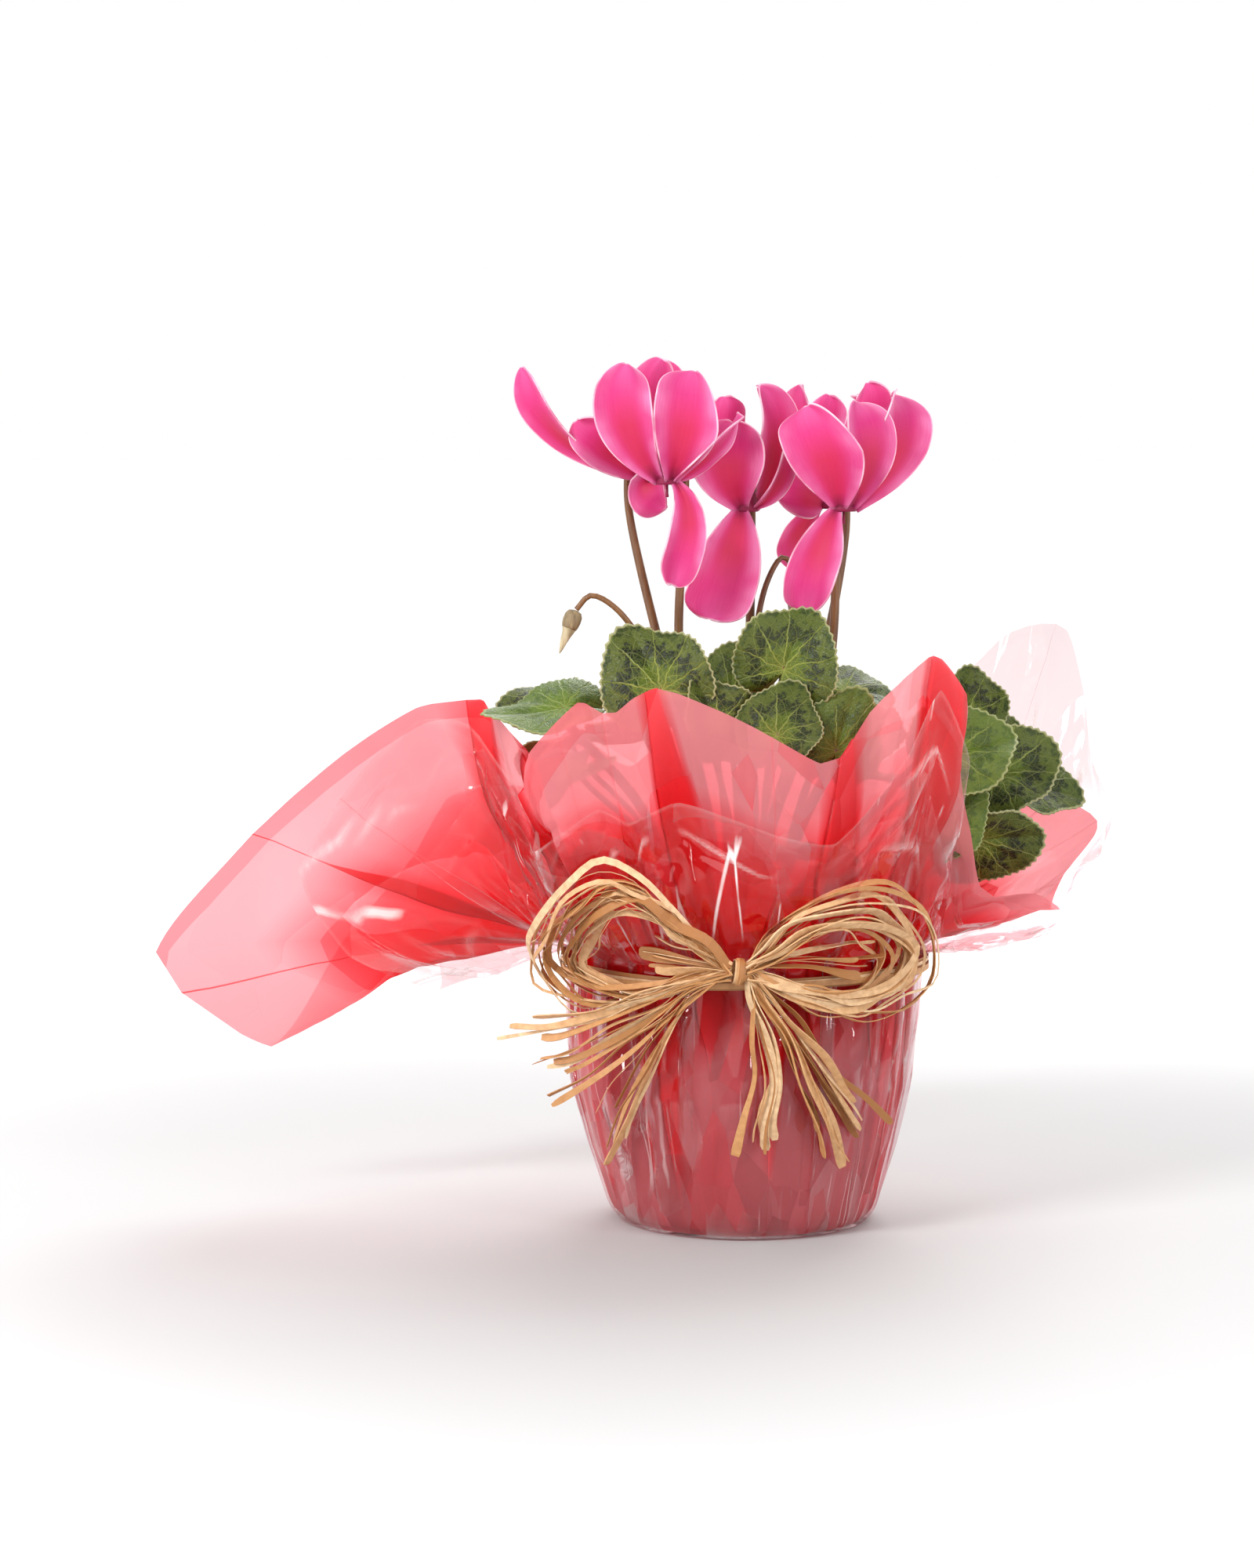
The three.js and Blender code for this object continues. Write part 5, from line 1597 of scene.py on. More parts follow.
# ---- Film ----
# The folds of the inner, red sheet above the tie: azimuth at the tie, the fold's end at the free edge, and
# how far up the fold the outer, clear sheet reaches.
FOLDS = np.array(
    [
        (0, -9, -100, 192, 0.62), (10, 10, -97, 182, 0.62), (20, 27, -88, 174, 0.64),
        (30, 40, -82, 190, 0.66), (40, 52, -80, 203, 0.75), (48, 63, -76, 211, 0.9),
        (56, 75, -66, 194, 0.8), (63, 73, -58, 174, 0.7), (70, 77, -48, 151, 0.66),
        (77, 84, -38, 123, 0.64), (84, 104, -22, 122, 0.76), (90, 115, -8, 114, 0.9), (97, 113, 8, 112, 1),
        (104, 120, 25, 122, 1), (111, 133, 38, 135, 0.9), (118, 134, 48, 142, 1), (126, 121, 62, 150, 1),
        (135, 106, 84, 162, 1), (144, 88, 90, 150, 1), (153, 70, 108, 166, 0.95), (162, 46, 108, 152, 0.9),
        (171, 26, 122, 170, 1), (180, 4, 114, 154, 0.86), (189, -20, 122, 172, 0.9),
        (198, -42, 108, 156, 0.9), (207, -66, 110, 170, 0.9), (216, -82, 92, 150, 0.9),
        (226, -108, 84, 152, 0.9), (236, -126, 62, 124, 0.86), (243, -150, 44, 96, 0.6),
        (250, -176, 25, 59, 0.42), (258, -216, -5, 95, 0.5), (265, -182, -12, 138, 0.8),
        (271, -145, -15, 171, 0.92), (277, -119, -14, 188, 0.96), (284, -99, -18, 191, 0.92),
        (291, -88, -35, 184, 0.86), (299, -74, -60, 170, 0.8), (309, -80, -86, 163, 0.7),
        (318, -76, -98, 178, 0.66), (326, -60, -94, 196, 0.62), (334, -49, -88, 191, 0.6),
        (342, -40, -94, 198, 0.6), (350, -31, -99, 201, 0.62),
    ],
    float,
)  # fmt: skip
# Where the clear sheet stands taller than the red one, behind on the right, by azimuth.
TALL = {
    97: (118, 8, 112), 104: (125, 27, 126), 111: (140, 43, 146), 118: (133, 56, 163), 126: (131, 68, 189),
    135: (125, 82, 213), 144: (106, 92, 211), 153: (88, 100, 193), 162: (58, 112, 170),
}  # fmt: skip


@dataclass
class Crumple:
    """Random sharp creases pressed into a part of a sheet."""

    count: int
    length: tuple[float, float]  # the shortest and longest half length
    width: tuple[float, float]  # the narrowest and widest half width
    height: tuple[float, float]  # the least and greatest rise
    seed: int
    folds: tuple[float, float] = (0.0, 44.0)  # from which fold to which they lie
    climbs: tuple[float, float] = (0.02, 1.0)  # how far down and up the sheet they lie
    stray: float = 0.6  # how far they turn off the folds' own direction, in radians
    crest_width: float = 1.5  # half the width of the painted highlight line on a high crease
    # How high a crease is that has such a painted highlight line, as a share of the way to the greatest rise.
    high: float = 0.85

    def press(self, across: Array, along: Array, per_fold: float, per_climb: float) -> Array:
        """How far each point rises, and how near it is to the crest of a high crease, where a highlight is
        painted.

        Args:
            across: places round the sheet.
            along: places up the sheet.
            per_fold: the distance from fold to fold.
            per_climb: the distance from the neck to the free edge.

        Returns:
            The rises, and the nearness to a crest from 0 to 1, which masks the painted highlight, stacked.
        """
        rng = np.random.default_rng(self.seed)
        girth = per_fold * len(FOLDS)
        rise, crest = np.zeros_like(across), np.zeros_like(across)
        for _ in range(self.count):
            u, v = rng.uniform(*self.folds) * per_fold, rng.uniform(*self.climbs) * per_climb
            turn = rng.normal(np.pi / 2, self.stray)
            length, width, height = (rng.uniform(*span) for span in (self.length, self.width, self.height))
            du = np.mod(across - u + girth / 2, girth) - girth / 2
            ahead = du * math.cos(turn) + (along - v) * math.sin(turn)
            aside = (along - v) * math.cos(turn) - du * math.sin(turn)
            kept = np.maximum(0, 1 - (ahead / length) ** 2)
            rise += height * np.maximum(0, 1 - np.abs(aside) / width) * kept
            if height > (1 - self.high) * self.height[0] + self.high * self.height[1]:
                crest = np.maximum(crest, kept * np.maximum(0, 1 - np.abs(aside) / self.crest_width))
        return np.stack([rise, crest])


@dataclass
class Wrap:
    """The form that both sheets of film share: a skirt round the pot and a flared ruffle of folds.

    Positions on it are given by fold, counted round from the front, and climb: -1 at the base, 0 at the neck
    and 1 at the red sheet's free edge.
    """

    film: float = 0.6  # the films' thickness in the solids
    sheet_gap: float = 0.5
    sheet_spread: float = 3.0
    neck_z: float = 101.0
    neck_radius: float = 62.4
    pleat_depth: float = 1.1
    skirt_slack: float = 3.5  # how far the skirt hangs off the pot in front
    bow: float = 0.1  # how far a fold bows outwards, as a share of its length
    softness: float = 0.6  # how round the sheet is between its folds: 0 is straight
    fold_gap: float = 14.5  # the distance from fold to fold in the creases' pattern
    reach: float = 110.0  # the sheet's height there
    heights: tuple = (1.7, 3.2, 6, 30, 52, 80, 101)  # where the skirt's share, slack and pleating are given
    # The skirt's radius at these heights, as a share of the neck's.
    share: tuple = (0.715, 0.742, 0.765, 0.862, 0.935, 0.978, 1)
    slack: tuple = (0, 0.15, 0.3, 0.7, 1, 0.5, 0)  # how much of the slack hangs there
    pleating: tuple = (0, 0, 0.05, 0.35, 0.6, 0.9, 1)  # how much of the pleats' depth is left there

    def periodic(self, values: Array, fold: Array) -> Array:
        """What is given for each fold, between the folds: part straight and part smooth.

        Args:
            values: a value or a point for each fold.
            fold: places round the sheet.

        Returns:
            A value or a point for each place.
        """
        count = len(values)
        base = np.floor(fold).astype(int)
        t = (fold - base)[..., None] if values.ndim > 1 else fold - base
        a, b, c, d = (values[(base + k) % count] for k in (-1, 0, 1, 2))
        smooth = b + 0.5 * t * (c - a + t * (2 * a - 5 * b + 4 * c - d + t * (3 * (b - c) + d - a)))
        return (1 - self.softness) * (b + t * (c - b)) + self.softness * smooth

    def place(self, fold: Array, climb: Array) -> Array:
        """Points on the inner face of the red sheet.

        Args:
            fold: their places round the sheet.
            climb: their places up the sheet.

        Returns:
            The points.
        """
        turns = np.r_[FOLDS[:, 0], 360.0]
        azimuth = np.interp(np.mod(fold, len(FOLDS)), np.arange(len(turns)), turns)
        outward = radial(azimuth)
        pleat = self.pleat_depth * np.cos(np.pi * fold)
        z = self.neck_z + np.minimum(climb, 0) * (self.neck_z - 2 * self.film - self.sheet_gap)
        given = (self.share, self.slack, self.pleating)
        share, slack, pleating = (np.interp(z, self.heights, values) for values in given)
        loose = self.skirt_slack * slack * np.maximum(0, -np.sin(np.radians(azimuth)))
        radius = self.neck_radius * share + loose + pleat * pleating
        skirt = outward * radius[..., None]
        skirt[..., 2] = z
        neck = outward * (self.neck_radius + pleat)[..., None]
        neck[..., 2] = self.neck_z
        edge = self.periodic(FOLDS[:, 1:4], fold)
        s = np.maximum(climb, 0)[..., None]
        middle = (neck + edge) / 2 + outward * self.bow * np.linalg.norm(edge - neck, axis=-1, keepdims=True)
        ruffle = (1 - s) ** 2 * neck + 2 * s * (1 - s) * middle + s**2 * edge
        return np.where(climb[..., None] > 0, ruffle, skirt)

    def outward(self, fold: Array, climb: Array) -> Array:
        """Unit normals of the sheet, away from the plant.

        Args:
            fold: places round the sheet.
            climb: places up the sheet.

        Returns:
            The normals.
        """
        step = 0.02
        across = self.place(fold + step, climb) - self.place(fold - step, climb)
        low, high = np.clip(climb - step, -1, 1), np.clip(climb + step, -1, 1)
        return unit(np.cross(across, self.place(fold, high) - self.place(fold, low)))


@dataclass
class FilmSheet:
    """One sheet of film: its grid of folds and rows, its knife pleats and its creases."""

    wrap: Wrap
    name: str
    node: str  # the node that it stands for
    finish: Finish
    pleats: int
    layer: float  # the distance between the layers of a pleat
    creases: list[Crumple]
    rise: float  # 1 where creases rise outwards, -1 inwards
    flat: tuple[float, float]  # the sheet's size in metres before it was wrapped
    seed: int
    panels: tuple = ()  # broad pleats that reach the free edge: middle, half width, and how far down and up
    painted_edge_highlight: float = 0.0  # how strong the painted highlight along the cut edge is
    ridge: float = 1.6  # how high the fine gathers stand
    deepens: float = 0.78  # how far up from the tie its colour is deepened, for the gathers and as painted shade
    step: float = 1 / 12  # the distance between columns, in folds
    skirt_rows: int = 34
    ruffle_rows: int = 80
    waves: tuple = (29, 43, 58, 71)  # how many ridges go round the neck, in each set of gathers
    climbs: tuple = (-0.8, -0.3, -0.12, 0.0, 0.2, 0.45, 0.85)  # where the ridges' growth is given
    grown: tuple = (0, 0.3, 0.16, 0.16, 0.8, 0.55, 0)  # how high the ridges stand there, as shares
    hub: tuple = (0.34, 0.67, 0.9)  # where the rings of the floor under the pot lie, as shares of its radius

    def pleat_table(self) -> Array:
        """Draws the knife pleats beside the panels.

        Returns:
            The middle and half width of each, and how far down and up it stays folded.
        """
        rng = np.random.default_rng(self.seed)
        count = len(FOLDS)
        drawn = list(self.panels)
        for number in range(self.pleats):
            middle = (number + rng.uniform(-0.3, 0.3)) * count / self.pleats + 0.5
            half, down, up = rng.uniform((0.16, 0.35, 0.3), (0.5, 1.1, 0.85))
            room = [abs((middle - other[0] + count / 2) % count - count / 2) - other[1] for other in drawn]
            if min(room, default=count) > half + 0.15:
                drawn.append((middle, half, down, up))
        return np.array(drawn)

    def columns(self, pleats: Array) -> tuple[Array, Array, Array, Array]:
        """The sheet's columns, three layers of them in each pleat.

        Args:
            pleats: the pleats.

        Returns:
            The fold of each column, its shift in a pleat, its layer, and its pleat's number or -1.
        """
        count = len(FOLDS)
        regular = np.arange(0, count, self.step)
        free = np.ones(len(regular), bool)
        rows = []
        layer = np.r_[np.zeros(7), 0.5, np.ones(6), 1.5, 2 * np.ones(7)]
        for number, (centre, half) in enumerate(pleats[:, :2]):
            away = np.abs(np.mod(regular - centre + count / 2, count) - count / 2)
            free &= away > half * 1.02
            over, back = np.linspace(-half, half, 8), np.linspace(half, -half, 8)[1:-1]
            order = centre + np.linspace(-half, half, len(layer))
            rows += [(o, centre, s, y, number) for o, s, y in zip(order, np.r_[over, back, over], layer)]
        rows += [(f, f, 0.0, 0.0, -1) for f in regular[free]]
        rows.sort(key=lambda row: row[0])
        table = np.array(rows)
        return table[:, 1], table[:, 2], table[:, 3], table[:, 4].astype(int)

    def gathers(self, climb: Array, pleats: Array) -> Array:
        """How far each pleat is still folded: full at the neck, none at its two ends.

        Args:
            climb: places up the sheet.
            pleats: the pleats.

        Returns:
            A row of shares for each place.
        """
        below = climb[:, None] < 0
        part = climb[:, None] / np.where(below, -pleats[:, 2], pleats[:, 3])
        return 1 - smoothstep(np.where(below, 0.3, 0.25), 1.0, part)

    def gathering(self, fold: Array, climb: Array) -> Array:
        """The fine ridges that run out of the tie, strongest just above it and gone before the free edge.

        Args:
            fold: places round the sheet.
            climb: places up the sheet.

        Returns:
            The rises.
        """
        rng = np.random.default_rng(self.seed + 2)
        turn = fold * 2 * np.pi / len(FOLDS)
        ridges = np.zeros_like(fold)
        for waves in self.waves:
            drift = rng.uniform(-1.5, 1.5) * climb
            ridges += np.abs(np.sin(turn * waves / 2 + rng.uniform(0, 6) + drift)) * rng.uniform(0.3, 0.6)
        return self.rise * self.ridge * ridges * np.interp(climb, self.climbs, self.grown)

    def sheet_place(self, fold: Array, climb: Array) -> tuple[Array, Array]:
        """The sheet's points before pleats and creases lift them, and its normals."""
        normals = self.wrap.outward(fold, climb)
        return self.wrap.place(fold, climb) + normals * self.wrap.film / 2, normals

    def surface(self) -> Surface:
        """The whole sheet, closed under the pot, with its layers and creases.

        Returns:
            Its surface, with a trait that deepens its colour at the tie, for plies and as painted shade, and
            the trait crest, where highlights are painted.
        """
        pleats = self.pleat_table()
        wide = np.clip(pleats[:, 1] - 0.5, 0, 1) * 3
        base, shift, layer, pleat = self.columns(pleats)
        climb = np.r_[np.linspace(-1, 0, self.skirt_rows), np.linspace(0, 1, self.ruffle_rows + 1)[1:]]
        hold = np.where(pleat >= 0, self.gathers(climb, pleats)[:, pleat], 0)
        fold = base + shift * np.maximum(hold, 0.02)
        climbs = np.broadcast_to(climb[:, None], fold.shape)
        points, normals = self.sheet_place(fold, climbs)
        gap, reach = self.wrap.fold_gap, self.wrap.reach
        presses = [crumple.press(fold * gap, climbs * reach, gap, reach) for crumple in self.creases]
        creased = sum(press[0] for press in presses)
        crested = np.max([press[1] for press in presses], axis=0)
        tied = smoothstep(0.0, 0.1, np.abs(climbs + 0.05)) * smoothstep(-1.0, -0.93, climbs)
        lift = layer * self.layer * np.maximum(hold, 0.05) + self.rise * creased * tied
        lift = lift + self.gathering(fold, climbs)
        lift = lift + layer * wide[pleat] * (pleat >= 0) * np.clip(climbs, 0, 1)
        points = points + normals * lift[..., None]
        rows, columns = fold.shape
        added = len(self.hub)
        hub = points[0].mean(axis=0)
        grid = np.concatenate([np.stack([hub + (points[0] - hub) * share for share in self.hub]), points])
        faces = grid_faces(rows + added, columns, closed=True).tolist()
        faces += [[(rows + added) * columns, (k + 1) % columns, k] for k in range(columns)]
        up = np.concatenate([np.full((added, columns), -1.0), climbs])
        turns = np.concatenate([fold[:1]] * added + [fold]) / len(FOLDS)
        uv = np.stack([turns, up * 0.5 + 0.5], axis=-1).reshape(-1, 2)
        # Painted highlights: the crests of high creases, away from the tie, and a line along the cut edge.
        crested = np.maximum(crested * tied, self.painted_edge_highlight * smoothstep(0.975, 0.99, climbs))
        crest, held = (np.concatenate([np.zeros((added, columns)), values]) for values in (crested, hold))
        # Painted shade: the colour deepens towards the tie from above and below, partly for plies that the
        # sheet doesn't model and partly as shade under the tie; the gathers of the pleats deepen it further.
        skirt = 0.08 + 0.8 * smoothstep(-0.45, 0.0, up)
        deep = np.where(up > 0, 1 - smoothstep(0.12, self.deepens, up), skirt)
        deep = deep + 0.6 * (1 - deep) * held
        return Surface(
            np.vstack([grid.reshape(-1, 3), hub]),
            faces,
            np.vstack([uv, [[0.5, 0]]]),
            {"gather": np.r_[deep.ravel(), 0], "crest": np.r_[crest.ravel(), 0]},
        )

    def dress(self) -> None:
        """The sheet as a piece."""
        dressed(self.name, self.surface().mesh(self.name), [self.finish], self.node, self.node)


@dataclass
class ClearSheet(FilmSheet):
    """The clear sheet lies over the red one, parts from it towards its edge, and stands taller behind."""

    turn_in: float = 0.75  # how far up it starts to part from the red sheet

    def sheet_place(self, fold: Array, climb: Array) -> tuple[Array, Array]:
        """The clear sheet before pleats and creases lift it.

        Args:
            fold: places round the sheet.
            climb: places up the sheet.

        Returns:
            Its points and normals.
        """
        wrap = self.wrap
        tall = np.array([int(a) in TALL for a in FOLDS[:, 0]])
        reach = np.where(tall, 1.0, self.turn_in * FOLDS[:, 4])
        ends = self.over(np.arange(len(FOLDS), dtype=float), FOLDS[:, 4])
        for number in np.flatnonzero(tall):
            ends[number] = TALL[int(FOLDS[number, 0])]
        share = wrap.periodic(reach, fold) * np.clip(climb / self.turn_in, 0, 1)
        ground = np.where(climb > 0, np.clip(share, 0, 1), climb)
        near = self.over(fold, ground)
        beyond = np.clip((climb - self.turn_in) / (1 - self.turn_in), 0, 1)[..., None]
        points = near + (wrap.periodic(ends, fold) - near) * beyond
        normals = wrap.outward(fold, np.minimum(ground, 0.98))
        return points + normals * wrap.film / 2, normals

    def over(self, fold: Array, climb: Array) -> Array:
        """Points over the red sheet at the clear one's distance."""
        apart = self.wrap.film + self.wrap.sheet_gap + self.wrap.sheet_spread * np.sqrt(np.clip(climb, 0, 1))
        return self.wrap.place(fold, climb) + self.wrap.outward(fold, climb) * apart[..., None]


def film_sheets() -> list[FilmSheet]:
    """The two sheets of the wrap.

    Returns:
        The red sheet and the clear one.
    """
    wrap = Wrap()
    red = FilmSheet(
        wrap,
        "red_film_sheet",
        "film_red",
        FrostedFilm(),
        pleats=25,
        layer=0.4,
        creases=[
            Crumple(15, (45, 95), (15, 30), (2.0, 4.5), 6, climbs=(0.3, 1.0), stray=0.45),
            Crumple(52, (18, 55), (5, 11), (0.6, 2.0), 3, climbs=(0.1, 1.0)),
            Crumple(90, (8, 26), (2, 4), (0.3, 0.9), 4),
            Crumple(22, (20, 48), (7, 14), (1.2, 2.6), 5, climbs=(-0.85, -0.2), stray=0.25),
        ],
        rise=-1,
        flat=(0.43, 0.43),
        seed=21,
        panels=(
            (37.2, 0.9, 0.5, 1.9),
            (5.3, 0.8, 0.5, 1.8),
            (35.0, 0.7, 0.3, 1.3),
            (42.6, 0.6, 0.4, 1.5),
            (2.4, 0.6, 0.4, 1.4),
        ),
    )
    clear = ClearSheet(
        wrap,
        "clear_film_sheet",
        "film_clear",
        Cellophane(),
        pleats=19,
        layer=0.3,
        creases=[
            Crumple(12, (40, 80), (14, 26), (1.5, 3.5), 7, climbs=(0.3, 0.9), stray=0.5),
            Crumple(110, (14, 50), (2.5, 7), (0.6, 1.8), 8, climbs=(0.1, 1.0), stray=0.4),
            Crumple(170, (5, 20), (1.2, 3), (0.3, 0.9), 9),
            Crumple(30, (14, 44), (4, 10), (0.7, 2.0), 10, climbs=(-0.9, -0.15), stray=0.3),
            Crumple(26, (4, 12), (1.5, 4), (0.6, 1.6), 13, (37.5, 40.5), (-0.97, -0.6), 1.5),
        ],
        rise=1,
        flat=(0.40, 0.40),
        seed=37,
        painted_edge_highlight=0.15,
        ridge=1.1,
    )
    return [red, clear]


# ---- Raffia ----
# The bow's routes on each side of the knot, relative to it. A loop comes back to the knot.
LEFT_LOOPS = [
    [
        (-20, 6, -5), (-39, 14, -13), (-56, 26, -15), (-68, 30, -7), (-71, 26, 3), (-67, 13, 13),
        (-58, -4, 27), (-46, -7, 34), (-36, -6, 31), (-25, -3, 22), (-14, -1, 12),
    ],
    [
        (-19, 5, -4), (-38, 12, -10), (-53, 22, -8), (-62, 28, -1), (-61, 22, 9), (-56, 4, 21),
        (-46, -6, 30), (-36, -4, 26), (-25, -3, 17), (-14, -1, 9),
    ],
]  # fmt: skip
LEFT_ENDS = [
    [(-14, 3, 3), (-25, 8, 4), (-36, 13, 6)],
    [(-18, 4, -6), (-31, 10, -14), (-46, 18, -24), (-62, 22, -31), (-80, 26, -34)],
    [(-17, 4, -7), (-28, 10, -16), (-42, 18, -27), (-57, 22, -36), (-72, 26, -43)],
    [(-15, 4, -8), (-24, 9, -20), (-32, 17, -35), (-40, 24, -50), (-46, 32, -67)],
]
RIGHT_LOOPS = [
    [
        (9, 0, 10), (21, -5, 19), (35, -4, 25), (52, 7, 26), (62, 20, 17), (69, 34, 3), (67, 38, -8),
        (57, 28, -14), (43, 16, -17), (27, 7, -13), (13, 2, -5),
    ],
    [
        (12, -2, 7), (24, -4, 13), (38, 0, 17), (50, 13, 13), (59, 27, 3), (53, 21, -7), (39, 12, -11),
        (25, 4, -7), (12, 0, -3),
    ],
]  # fmt: skip
RIGHT_ENDS = [
    [(12, 1, 4), (24, 4, 5), (39, 12, 4), (52, 21, 4)],
    [(5, 2, -9), (10, 5, -24), (13, 9, -40), (11, 13, -56), (12, 17, -70)],
    [(7, 2, -10), (16, 6, -24), (23, 11, -42), (29, 17, -59), (33, 24, -74)],
    [(9, 2, -7), (19, 7, -19), (31, 14, -36), (42, 23, -52), (52, 33, -66)],
]


@dataclass
class RaffiaBow:
    """Natural raffia: fibres round the neck, a wound knot, and loops and loose ends on both sides."""

    knot: Point = (-4.0, -73.5, 101.0)
    knot_size: tuple[float, float] = (3.6, 4.6)  # half the winding's depth and height
    turns: tuple = (-1.7, -0.6, 0.6, 1.7)  # how far each turn of the winding lies to the side
    tie_z: float = 95.5
    tie_radius: float = 66.6
    tie_fibres: int = 6
    fibre_width: float = 2.2
    fibre_height: float = 0.35
    per_loop: int = 10
    per_end: int = 6
    broad: tuple = (0.4, 0.65, 0.95, 1.4)  # the widths that fibres have, as shares
    chances: tuple = (0.25, 0.35, 0.27, 0.13)  # how many fibres have each
    seed: int = 12

    def bundle(self, route: list[Point], count: int, returns: bool, rng: np.random.Generator) -> list[Strand]:
        """Fibres that follow a route side by side, drawn together at the knot.

        Args:
            route: points relative to the knot.
            count: how many fibres.
            returns: whether the route comes back to the knot.
            rng: draws each fibre's way off the route.

        Returns:
            The fibres.
        """
        side = math.copysign(1.0, route[0][0])
        course = np.array(route, float)
        loose = 1.3 if returns else 0.8
        strands = []
        for _ in range(count):
            beside = [np.array([side * 2.6, *rng.uniform((-1.8, -3.2), (1.4, 3.2))]) for _ in range(2)]
            sized = course * [1, 1, rng.uniform(0.86, 1.1)] * (rng.uniform(0.84, 1.06) if returns else 1.0)
            sized = sized + rng.normal(0, loose, sized.shape) * [1, 0.5, 1] - [0, abs(rng.normal(0, 1.4)), 0]
            if returns:
                path = smooth_path([beside[0], *sized, beside[1]], 50)
            else:
                swing = rng.normal(0, 0.09)
                cos, sin = math.cos(swing), math.sin(swing)
                sized = sized @ np.array([[cos, 0, sin], [0, 1, 0], [-sin, 0, cos]])
                sized[-1] += (sized[-1] - sized[-2]) * rng.uniform(-0.8, 0.08)
                path = smooth_path([beside[0], *sized], 40)
            share = np.linspace(0, 1, len(path))
            broad = rng.choice(self.broad, p=self.chances)
            width = broad * (1 + 0.25 * np.sin(share * rng.uniform(3, 9) + rng.uniform(0, 6)))
            if not returns:
                width = width * (1 + 0.4 * share) * np.clip((1.03 - share) / rng.uniform(0.03, 0.07), 0.5, 1)
            tilt = rng.normal(0, 0.5) + rng.normal(0, 1.4) * share
            strands.append(Strand(path + self.knot, width, tilt))
        return strands

    def side(self, loops: list, ends: list, seed: int) -> list[Strand]:
        """All the fibres on one side of the knot.

        Args:
            loops: the routes of its loops.
            ends: the routes of its loose ends.
            seed: fixes the draw.

        Returns:
            The fibres.
        """
        rng = np.random.default_rng(seed)
        strands = []
        for route in loops:
            strands += self.bundle(route, self.per_loop, True, rng)
        for route in ends:
            strands += self.bundle(route, self.per_end, False, rng)
        return strands

    def tie(self) -> list[Strand]:
        """Fibres round the neck of the wrap, crossing each other a little.

        Returns:
            The fibres.
        """
        rng = np.random.default_rng(self.seed)
        turn = np.linspace(0, 360, 180)
        strands = []
        for _ in range(self.tie_fibres):
            level = self.tie_z + rng.uniform(-1.8, 1.8)
            sway = rng.uniform(0.3, 1.0) * np.sin(np.radians(turn * 2) + rng.uniform(0, 6))
            path = radial(turn) * (self.tie_radius + rng.uniform(-0.5, 0.7))
            path[:, 2] = level + sway
            strands.append(Strand(path, np.full(180, rng.uniform(0.5, 1.0)), np.full(180, np.pi / 2)))
        return strands

    def winding(self) -> list[Strand]:
        """Flat turns of fibre wound round the middle of the bow.

        Returns:
            The fibres.
        """
        rng = np.random.default_rng(self.seed)
        strands = []
        for middle in self.turns:
            turn = np.linspace(0, 2 * np.pi * 1.15, 48) + rng.uniform(0, 6)
            grown = 1 - 0.06 * middle**2 + rng.uniform(0, 0.08)
            deep, tall = (size * grown for size in self.knot_size)
            x = middle * 0.8 + 0.5 * np.sin(turn + 0.6) + np.linspace(-0.3, 0.3, 48)
            path = np.stack([x, -np.cos(turn) * deep, np.sin(turn) * tall], -1)
            strands.append(Strand(path + self.knot, np.full(48, rng.uniform(0.6, 0.85)), np.zeros(48)))
        return strands

    def dress(self) -> None:
        """The tie, the knot and the two sides of the bow."""
        fibre = RaffiaFibre()
        sweep = Sweep("raffia_fibres", self.fibre_width, self.fibre_height)
        parts = {
            "tie": self.tie(),
            "knot": self.winding(),
            "left": self.side(LEFT_LOOPS, LEFT_ENDS, self.seed + 1),
            "right": self.side(RIGHT_LOOPS, RIGHT_ENDS, self.seed + 2),
        }
        for part, strands in parts.items():
            name = f"raffia_{part}_fibres"
            dressed(name, sweep.mesh(name, strands, fibre), [fibre], "raffia", f"raffia_{part}")


# ---- Studio ----
@dataclass(frozen=True)
class Lamp:
    """A soft rectangular lamp."""

    name: str
    place: Point
    size: tuple[float, float]
    power: float  # its power in watts


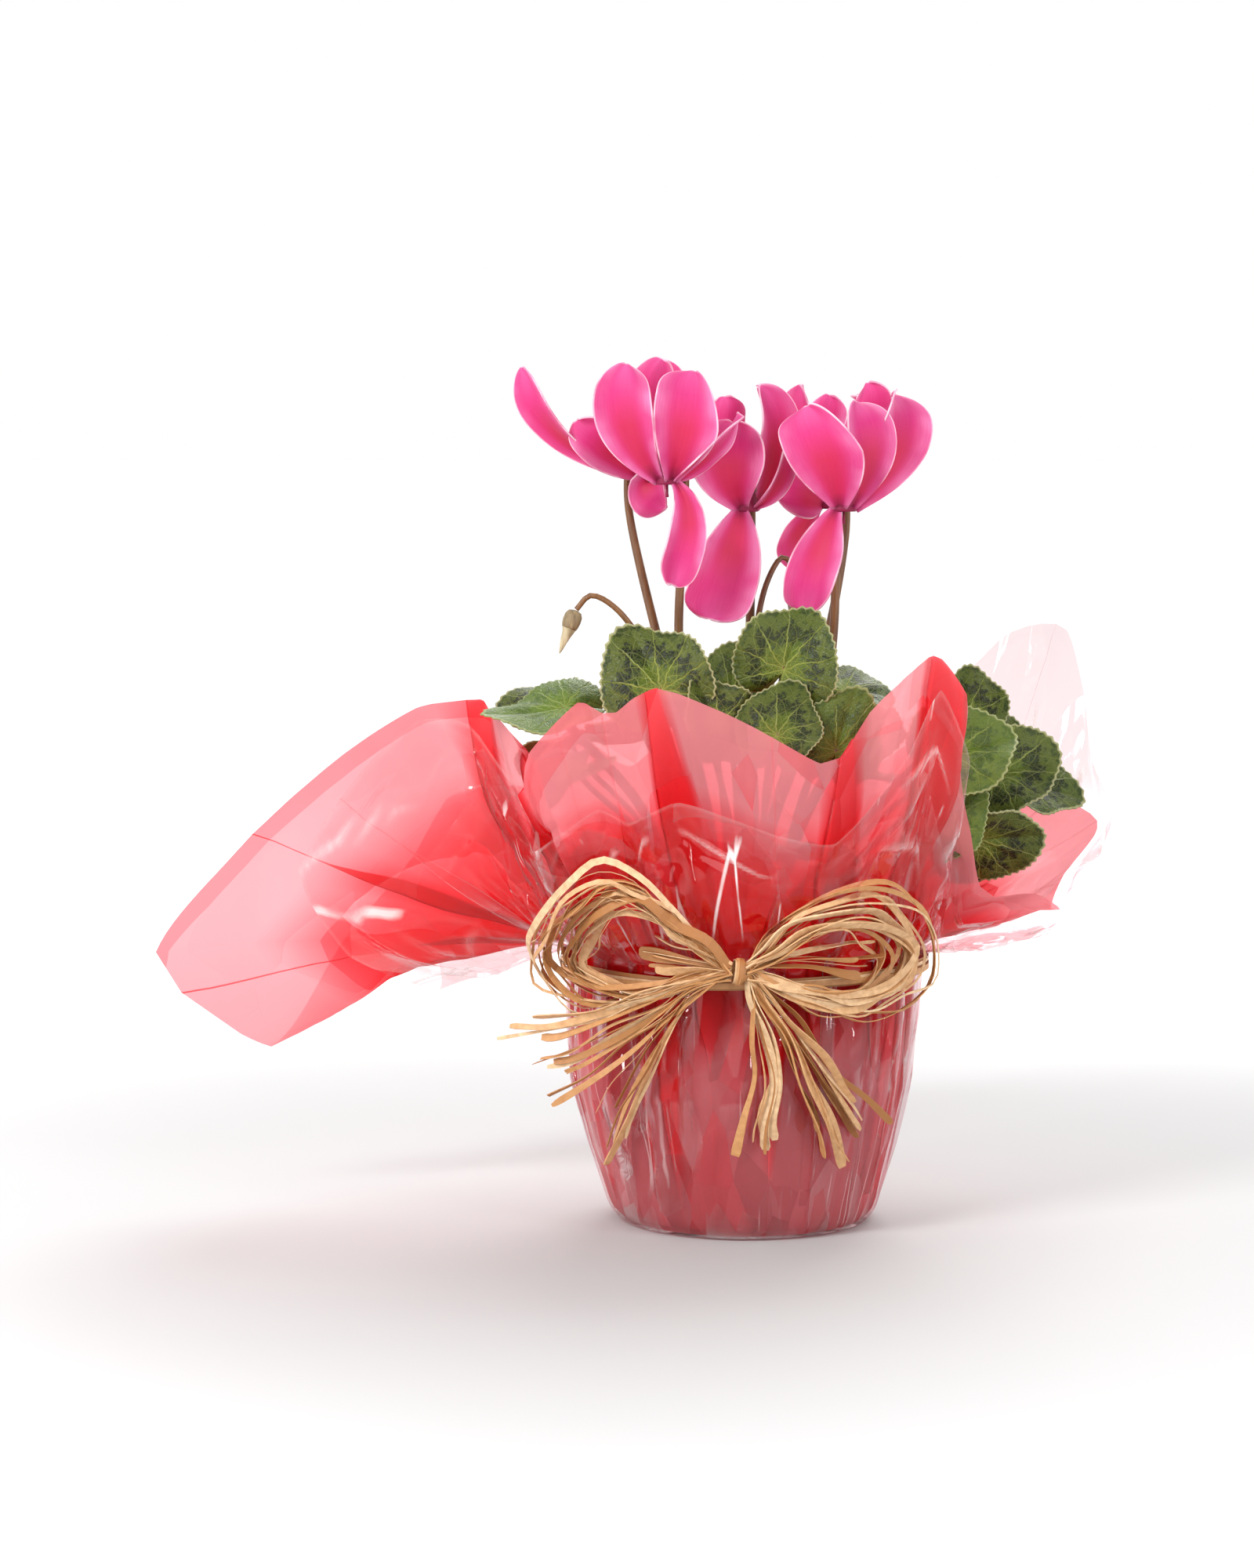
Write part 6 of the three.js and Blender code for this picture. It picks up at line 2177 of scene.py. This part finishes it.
@dataclass
class Studio:
    """A plain pale floor, soft light all round, and the camera at the photograph's angle."""

    camera_place: Point = (-43.0, -1400.0, 290.0)
    camera_target: Point = (-43.0, 0.0, 159.5)
    lens: float = 88.58
    sensor: float = 36.0
    front_fill: float = 0.2  # how strong the surround is behind the camera; it is 1 behind the plant
    sky_place: Point = (350, 900, 1500)
    sky_target: Point = (0, 0, 100)
    sky_spread: float = 45.0  # how broad it is, in degrees
    sky_power: float = 1.6
    middle: Point = (-20, 0, 150)
    lamps: tuple[Lamp, ...] = (
        Lamp("key", (-900, -1100, 1200), (420, 420), 17),
        Lamp("front", (450, -1700, 900), (1300, 800), 9),
        Lamp("back", (300, 1300, 900), (900, 700), 10),
        Lamp("strip_left", (-900, -700, 400), (50, 900), 5),
        Lamp("strip_right", (850, -850, 500), (50, 900), 5),
    )
    reach: float = 30000.0  # half the floor's width

    def floor(self) -> None:
        """A wide matt white floor."""
        corners = np.array([(-1, -1, 0), (1, -1, 0), (1, 1, 0), (-1, 1, 0)]) * self.reach
        piece = linked("floor", Surface(corners, [[0, 1, 2, 3]], np.zeros((4, 2))).mesh("floor"))
        piece.data.materials.append(PaperFloor().material())

    def surround(self) -> None:
        """White all round for the camera, but dim in front as a light, so that the plant keeps its shades."""
        world = bpy.data.worlds.new("white_studio")
        bpy.context.scene.world = world
        world.use_nodes = True
        world.node_tree.nodes.clear()
        add = adder(world.node_tree)
        way = add("TexCoord", out="Generated")
        depth = add("SeparateXYZ", (way,), "Y")
        limits = (depth, -0.6, 0.4, self.front_fill, 1.0)
        strength = add("MapRange", limits, **SMOOTH)
        seen = add("LightPath", out="Is Camera Ray")
        shown = add("Math MAXIMUM", (strength, seen))
        add("OutputWorld", (add("Background", ("#FFFFFF", shown)),))

    def aim(self, name: str, data: bpy.types.ID, place: Point, target: Point) -> bpy.types.Object:
        """Puts a light or camera in its place and turns it to its target.

        Args:
            name: its name.
            data: the light or camera.
            place: where it stands.
            target: what it points at.

        Returns:
            The object.
        """
        thing = linked(name, data)
        thing.location = Vector(place) * MM
        thing.rotation_euler = (Vector(target) - Vector(place)).to_track_quat("-Z", "Y").to_euler()
        return thing

    def light(self) -> None:
        """The overhead light and the lamps."""
        sky = bpy.data.lights.new("overhead", "SUN")
        sky.angle, sky.energy = math.radians(self.sky_spread), self.sky_power
        self.aim("overhead", sky, self.sky_place, self.sky_target)
        for lamp in self.lamps:
            glow = bpy.data.lights.new(lamp.name, "AREA")
            glow.shape = "RECTANGLE"
            glow.size, glow.size_y = (side * MM for side in lamp.size)
            glow.energy = lamp.power
            self.aim(lamp.name, glow, lamp.place, self.middle)

    def build(self) -> None:
        """Floor, surroundings, lamps and camera."""
        scene = bpy.context.scene
        scene.view_settings.view_transform = "Standard"
        scene.cycles.transparent_max_bounces = 40
        scene.cycles.max_bounces = 10
        self.surround()
        self.floor()
        self.light()
        camera = bpy.data.cameras.new("camera")
        camera.lens, camera.sensor_width = self.lens, self.sensor
        scene.camera = self.aim("camera", camera, self.camera_place, self.camera_target)


def main() -> None:
    """Builds the plant, its wrapping and the studio."""
    logging.basicConfig(level=logging.INFO, format="%(message)s")
    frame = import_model()
    Studio().build()
    corm = Corm()
    corm.dress()
    GrowingPot().dress()
    Compost().dress(frame["nodes"]["soil"], corm.radius)
    Foliage(corm).dress()
    Flowers(corm).dress()
    for sheet in film_sheets():
        sheet.dress()
    RaffiaBow().dress()


if __name__ == "__main__":
    main()
